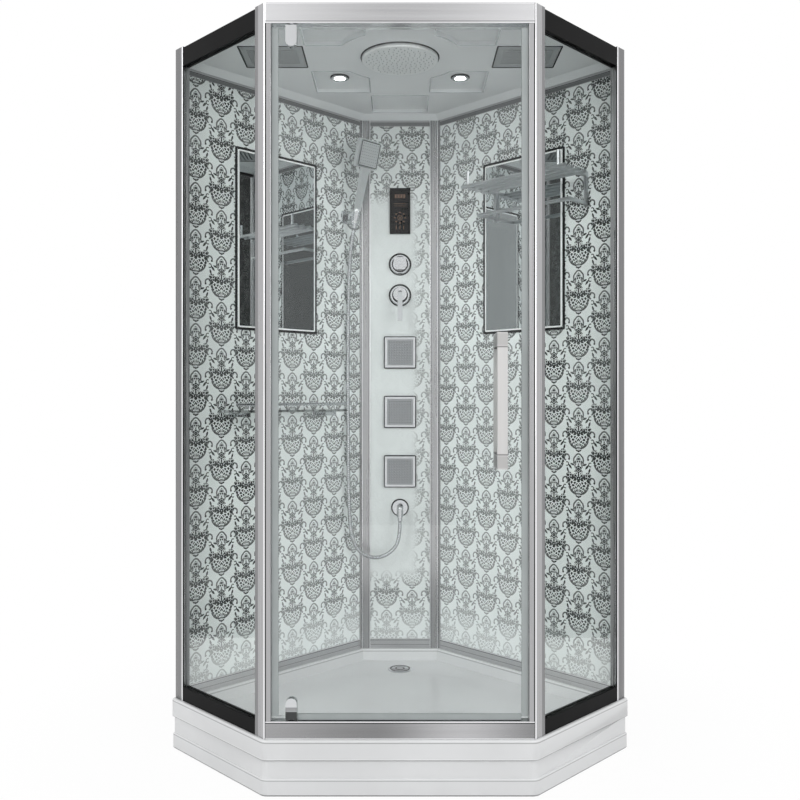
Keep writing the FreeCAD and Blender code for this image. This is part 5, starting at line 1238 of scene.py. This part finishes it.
class CABIN_OT_controls(bpy.types.Operator):
    """Finish the display and the taps, and add the display's marks"""
    bl_idname = "cabin.controls"
    bl_label = "Controls"

    def execute(self, context):
        coat("display", "control_display")
        coat("chrome", "valve_escutcheons", "diverter_knob", "mixer_drum")
        coat("rack", "mixer_lever")
        soften(sizes().edge_round, "diverter_knob", "mixer_lever")
        display = extent("control_display")
        mesh = display_marks("display_marks", sizes().mark_depth)
        mesh.transform(Matrix.Translation((display.middle.x, display.low.y, display.middle.z)))
        mesh_piece("display_marks", mesh, "mark", CABIN)
        plates = extent("valve_escutcheons")
        radius = plates.half.x
        rims = []
        # Dark rims around the tap plates and dark rings around the knobs stand for the shade at their edges.
        for z, knob_radius in ((plates.high.z - radius, 0.0262), (plates.low.z + radius, 0.0252)):
            rims.append(round_rim(on_column(z), radius + sizes().rim_gap, line=0.004, depth=0.003))
            plate = facing((0, plates.low.y, z), FRONT)
            rims.append(round_rim(plate, knob_radius, line=0.0042, depth=0.0002))
        rim_piece("tap_shade_rings", rims, "gasket", CABIN)
        return {"FINISHED"}


class CABIN_OT_sprays(bpy.types.Operator):
    """Finish the jets, rain head and hand shower, and add their nozzles"""
    bl_idname = "cabin.sprays"
    bl_label = "Jets and showers"

    def execute(self, context):
        coat("chrome", "jet_frames", "handset_holder")
        coat("handset", "hand_shower")
        coat("rain_face", "rain_shower")
        coat("satin_chrome", *(f"jet_plate_{number}" for number in JETS))
        coat("handset", "spray_plate")
        soften(sizes().edge_round, "jet_frames", "handset_holder")
        soften(sizes().handset_round, "hand_shower")
        self.shade_rims()
        tree = nozzle_tree()
        self.jets(tree)
        self.hand_shower(tree)
        self.rain_head(tree)
        return {"FINISHED"}

    def shade_rims(self):
        """Dark rims around the jets and the hose elbow, which stand for the shade at their edges."""
        gap = sizes().rim_gap
        half = extent("jet_frames").half.x + gap
        rims = []
        for number in JETS:
            wall = on_column(extent(f"jet_plate_{number}").middle.z)
            rims.append(Rim(wall, half, half, corner=0.002, line=0.0038, depth=0.004))
        elbow = extent("hose_elbow")
        radius = elbow.half.x
        rims.append(round_rim(on_column(elbow.high.z - radius), radius + gap, line=0.0046, depth=0.003))
        rim_piece("jet_shade_rims", rims, "gasket", CABIN)

    def nozzles(self, name, tree, face, finish, body, **counts):
        """Field of nozzles on a face, with their feet buried in it."""
        rise = sizes().nozzle_rise
        buried = rise * 0.3
        sunk = face @ Matrix.Translation((0, 0, -buried))
        piece = grow(name, tree, sunk, finish, body, rise=rise, **counts)

    def jets(self, tree):
        for number in JETS:
            plate = extent(f"jet_plate_{number}")
            face = facing((plate.middle.x, plate.low.y, plate.middle.z), FRONT)
            self.nozzles(f"jet_nozzles_{number}", tree, face, "rubber", f"jet_{number}", columns=9, rows=9,
                         spacing=0.0096, radius=sizes().jet_nozzle_radius)

    def hand_shower(self, tree):
        """Bright rim as a painted highlight, dark line as painted shade, and nozzles on the hand shower's
        leaning face.
        """
        lean = Vector(next(joint["axis"] for joint in frame["joints"] if joint["name"] == "handset_lift"))
        out = Vector((DIAGONAL, -DIAGONAL, 0))
        out = (out - lean * out.dot(lean)).normalized()
        corners = [vertex.co for vertex in frame["nodes"]["spray_plate"].data.vertices]
        middle = extent("spray_plate").middle
        reach = max(corner.dot(out) for corner in corners)
        face = facing(middle + out * (reach - middle.dot(out)), out)
        half = max((corner - middle).dot(face.col[0].to_3d()) for corner in corners)
        sunk = 0.0002
        seat = face @ Matrix.Translation((0, 0, -sunk))
        # The bright rim and the dark line are a painted highlight and painted shade around the spray plate.
        bright = half - 0.001
        dark = half - 0.004
        rim_piece("handset_highlight_rim", [Rim(seat, bright, bright, corner=0.004, line=0.0036, depth=0.0006)],
                  "highlight_line", "handset")
        rim_piece("handset_shade_line", [Rim(seat, dark, dark, corner=0.003, line=0.0028, depth=0.0004)],
                  "gasket", "handset")
        self.nozzles("handset_nozzles", tree, face, "pale_rubber", "handset", columns=8, rows=8,
                     spacing=0.0098, radius=sizes().nozzle_radius)

    def rain_head(self, tree):
        head = extent("rain_shower")
        face = under_roof(0, head.middle.y, head.low.z)
        self.nozzles("rain_nozzles", tree, face, "pale_rubber", CABIN, columns=150, rows=1,
                     spacing=0.0086, radius=sizes().nozzle_radius)


class CABIN_OT_fittings(bpy.types.Operator):
    """Finish the shelf, towel rack, door handle and pivot clamps"""
    bl_idname = "cabin.fittings"
    bl_label = "Fittings"

    def execute(self, context):
        coat("chrome", "shelf_fittings")
        coat("handle", "door_handle")
        coat("rack", "towel_rack")
        coat("clamp", "pivot_clamps")
        soften(sizes().edge_round, "door_handle", "pivot_clamps")
        return {"FINISHED"}


def coffer_highlight_beads(name, level, width, depth, finish, body):
    """Bright bead along every edge where the roof's underside drops into a coffer, a stand-in for the
    highlights on these edges.
    """
    roof = bmesh.new()
    roof.from_mesh(frame["nodes"]["roof_panel"].data)
    bmesh.ops.remove_doubles(roof, verts=roof.verts, dist=JOIN_DISTANCE)
    builder = bmesh.new()
    near = 0.0005
    for edge in roof.edges:
        on_level = all(abs(corner.co.z - level) < near for corner in edge.verts)
        walls = [face.normal for face in edge.link_faces if abs(face.normal.z) < 0.3]
        flats = [face.normal for face in edge.link_faces if face.normal.z < -0.9]
        if not (on_level and walls and flats):
            continue
        first, last = (corner.co for corner in edge.verts)
        inward = -walls[0] * width
        drop = Vector((0, 0, -depth))
        ends = [[builder.verts.new(spot + step) for step in (drop * 0, inward, inward + drop, drop)]
                for spot in (first, last)]
        builder.faces.new(ends[0])
        builder.faces.new(ends[1])
        for side in range(4):
            after = (side + 1) % 4
            builder.faces.new((ends[0][side], ends[0][after], ends[1][after], ends[1][side]))
    roof.free()
    return mesh_piece(name, closed_mesh_from(builder, name), finish, body)


class CABIN_OT_roof(bpy.types.Operator):
    """Finish the roof, its lights and its grilles"""
    bl_idname = "cabin.roof"
    bl_label = "Roof"

    def execute(self, context):
        coat("ceiling", "roof_panel")
        coat("chrome", "spot_bezels")
        coat("lamp", "spot_lenses")
        coat("grille", "ceiling_grilles")
        gap = sizes().rim_gap
        # Dark rims around the spot bezels, the rain head and the grilles stand for the shade at their edges.
        rims = []
        bezels = extent("spot_bezels")
        radius = bezels.half.y
        for x in (bezels.low.x + radius, bezels.high.x - radius):
            place = under_roof(x, bezels.middle.y, bezels.low.z + sizes().bezel_depth)
            rims.append(round_rim(place, radius + gap, line=0.0024, depth=0.003))
        head = extent("rain_shower")
        ceiling = head.low.z + sizes().rain_depth
        place = under_roof(0, head.middle.y, ceiling)
        rims.append(round_rim(place, head.half.x + gap, line=0.004, depth=0.002))
        grilles = extent("ceiling_grilles")
        lip = 0.001
        half_x = sizes().grille_width / 2
        half_y = grilles.half.y
        for x in (grilles.low.x + half_x, grilles.high.x - half_x):
            place = under_roof(x, grilles.middle.y, ceiling)
            rims.append(Rim(place, half_x + lip, half_y + lip, corner=0.001, line=0.004, depth=0.0015))
        rim_piece("roof_shade_rims", rims, "gasket", CABIN)
        beads = coffer_highlight_beads("coffer_highlight_beads", ceiling, width=sizes().bead_width, depth=0.0008,
                             finish="highlight_line", body=CABIN)
        return {"FINISHED"}


class CABIN_OT_inner_works(bpy.types.Operator):
    """Finish the support, plumbing, fan and electrics"""
    bl_idname = "cabin.inner_works"
    bl_label = "Inner works"

    def execute(self, context):
        coat("steel", "support_frame", "levelling_feet")
        coat("brass", "valve_body")
        coat("pipe", "water_pipes")
        coat("black_plastic", "control_box", "fan_housing", "fan_impeller", "speaker_driver")
        return {"FINISHED"}


# Stage
def soft_light(name, place, size, watts):
    """Large soft light aimed at the middle of the cabin."""
    lamp = bpy.data.lights.new(name, "AREA")
    lamp.size = size
    lamp.energy = watts
    aim = Vector((0, 0, 1.0))
    holder = link(name, lamp)
    holder.location = place
    holder.rotation_euler = (aim - Vector(place)).to_track_quat("-Z", "Y").to_euler()


def flat_card(name, width, height):
    """Flat card about the origin."""
    builder = bmesh.new()
    bmesh.ops.create_grid(builder, x_segments=1, y_segments=1, size=0.5)
    bmesh.ops.scale(builder, vec=(width, height, 1), verts=builder.verts)
    return link(name, mesh_from(builder, name))


def white_floor():
    """Pale floor that stays white to the camera and keeps a faint shadow."""
    floor = flat_card("floor", 60, 60)
    material, graph, shader = new_material("pale floor", roughness=0.9, specular_ior_level=0.0)
    graph.wire(shader, base_color=(0.86, 0.86, 0.86, 1))
    glow = graph.add("ShaderNodeEmission")
    graph.wire(glow, color=WHITE)
    reach = graph.vector("LENGTH", graph.place())
    lit = graph.times(graph.seen(), graph.ramp(reach, 0.7, 1.5, first=0.96))
    graph.surface(lit, shader, glow)
    floor.data.materials.append(material)


def reflector(name, place, width, height, level, side_level=None, clear_only=True, outside_only=False,
              repeat_gain=1.0):
    """Grey card that shows only in reflections.

    clear_only keeps it to mirrors and clear glass. outside_only leaves out what is seen through glass and
    reflected once. repeat_gain brightens what is reflected again.
    """
    card = flat_card(name, width, height)
    card.matrix_world = place
    card.visible_camera = False
    card.visible_diffuse = False
    card.visible_shadow = False
    material, graph, _ = new_material(name)
    glow = graph.add("ShaderNodeEmission")
    away = graph.math("ABSOLUTE", graph.axes(graph.place())["X"])
    grey = graph.ramp(away, 0.1, width * 0.25, level, level if side_level is None else side_level)
    path = graph.add("ShaderNodeLightPath").outputs
    shown = graph.above(path["Glossy Depth"], 0.5)
    repeated = graph.above(path["Glossy Depth"], 1.5)
    gain = graph.times_plus(repeated, repeat_gain - 1.0, 1.0)
    graph.wire(glow, strength=graph.times(grey, gain))
    if clear_only:
        shown = graph.times(shown, path["Is Singular Ray"])
    if outside_only:
        outside = graph.math("LESS_THAN", path["Transmission Depth"], 0.5)
        shown = graph.times(shown, graph.most(outside, repeated))
    graph.surface(shown, graph.add("ShaderNodeBsdfTransparent"), glow)
    card.data.materials.append(material)


class CABIN_OT_studio(bpy.types.Operator):
    """Set up the camera, the floor and the light"""
    bl_idname = "cabin.studio"
    bl_label = "Studio"

    def execute(self, context):
        kit = studio()
        context.scene.view_settings.view_transform = "Standard"
        self.camera(context.scene, kit)
        white_floor()
        for name, side in (("left card", -1), ("right card", 1)):
            beside = facing((side * 1.9, 0.2, 1.5), (-side, 0, 0))
            before = facing((side * 1.25, -5.1, 2.3), BACK)
            reflector(name, beside, width=3.0, height=3.0, level=0.05 - side * 0.025)
            reflector(f"{name} at the door", before, width=2.5, height=4.5, level=0.075 - side * 0.042,
                      outside_only=True, repeat_gain=4.0)
        reflector("header card", facing((0, -5.2, 4.8), BACK), width=5.0, height=4.0, level=0.56,
                  side_level=1.1, clear_only=False, outside_only=True)
        soft_light("key light", place=(-3.5, -3.3, 3.2), size=3.0, watts=kit.key_power)
        soft_light("fill light", place=(2.8, -3.4, 2.2), size=2.5, watts=kit.fill_power)
        self.even_light(context.scene, kit)
        return {"FINISHED"}

    def camera(self, scene, kit):
        camera = bpy.data.cameras.new("camera")
        camera.lens = kit.lens
        camera.sensor_width = 36
        camera.shift_y = kit.shift
        holder = link("camera", camera)
        holder.location = (0, -kit.camera_distance, kit.camera_height)
        holder.rotation_euler = (math.radians(90), 0, 0)
        scene.camera = holder

    def even_light(self, scene, kit):
        """White surroundings whose light on the pieces is dimmer than they look."""
        world = bpy.data.worlds.new("studio")
        scene.world = world
        world.use_nodes = True
        graph = Graph(world.node_tree)
        strength = graph.times_plus(graph.seen(), 1.0 - kit.ambient, kit.ambient)
        graph.wire(world.node_tree.nodes["Background"], color=WHITE, strength=strength)


# Add-on
OPERATORS = (CABIN_OT_studio, CABIN_OT_hose, CABIN_OT_framework, CABIN_OT_glazing, CABIN_OT_walls,
             CABIN_OT_tray, CABIN_OT_controls, CABIN_OT_sprays, CABIN_OT_fittings, CABIN_OT_roof,
             CABIN_OT_inner_works)


class CABIN_PT_pieces(bpy.types.Panel):
    """Buttons for the cabin's pieces, with their sizes and colours"""
    bl_idname = "CABIN_PT_pieces"
    bl_label = "Shower cabin"
    bl_space_type = "VIEW_3D"
    bl_region_type = "UI"
    bl_category = "Cabin"

    def draw(self, context):
        for operator in OPERATORS:
            self.layout.operator(operator.bl_idname)
        for settings in (finishes(), sizes(), studio()):
            for name in settings.__annotations__:
                self.layout.prop(settings, name)


CLASSES = (CabinFinishes, CabinSizes, CabinStudio, *OPERATORS, CABIN_PT_pieces)


def register():
    for item in CLASSES:
        bpy.utils.register_class(item)
    bpy.types.Scene.cabin_finishes = PointerProperty(type=CabinFinishes)
    bpy.types.Scene.cabin_sizes = PointerProperty(type=CabinSizes)
    bpy.types.Scene.cabin_studio = PointerProperty(type=CabinStudio)


def unregister():
    for name in ("cabin_finishes", "cabin_sizes", "cabin_studio"):
        delattr(bpy.types.Scene, name)
    for item in reversed(CLASSES):
        bpy.utils.unregister_class(item)


def main():
    register()
    for operator in OPERATORS:
        call = operator.bl_idname.removeprefix("cabin.")
        getattr(bpy.ops.cabin, call)()


if __name__ == "__main__":
    main()
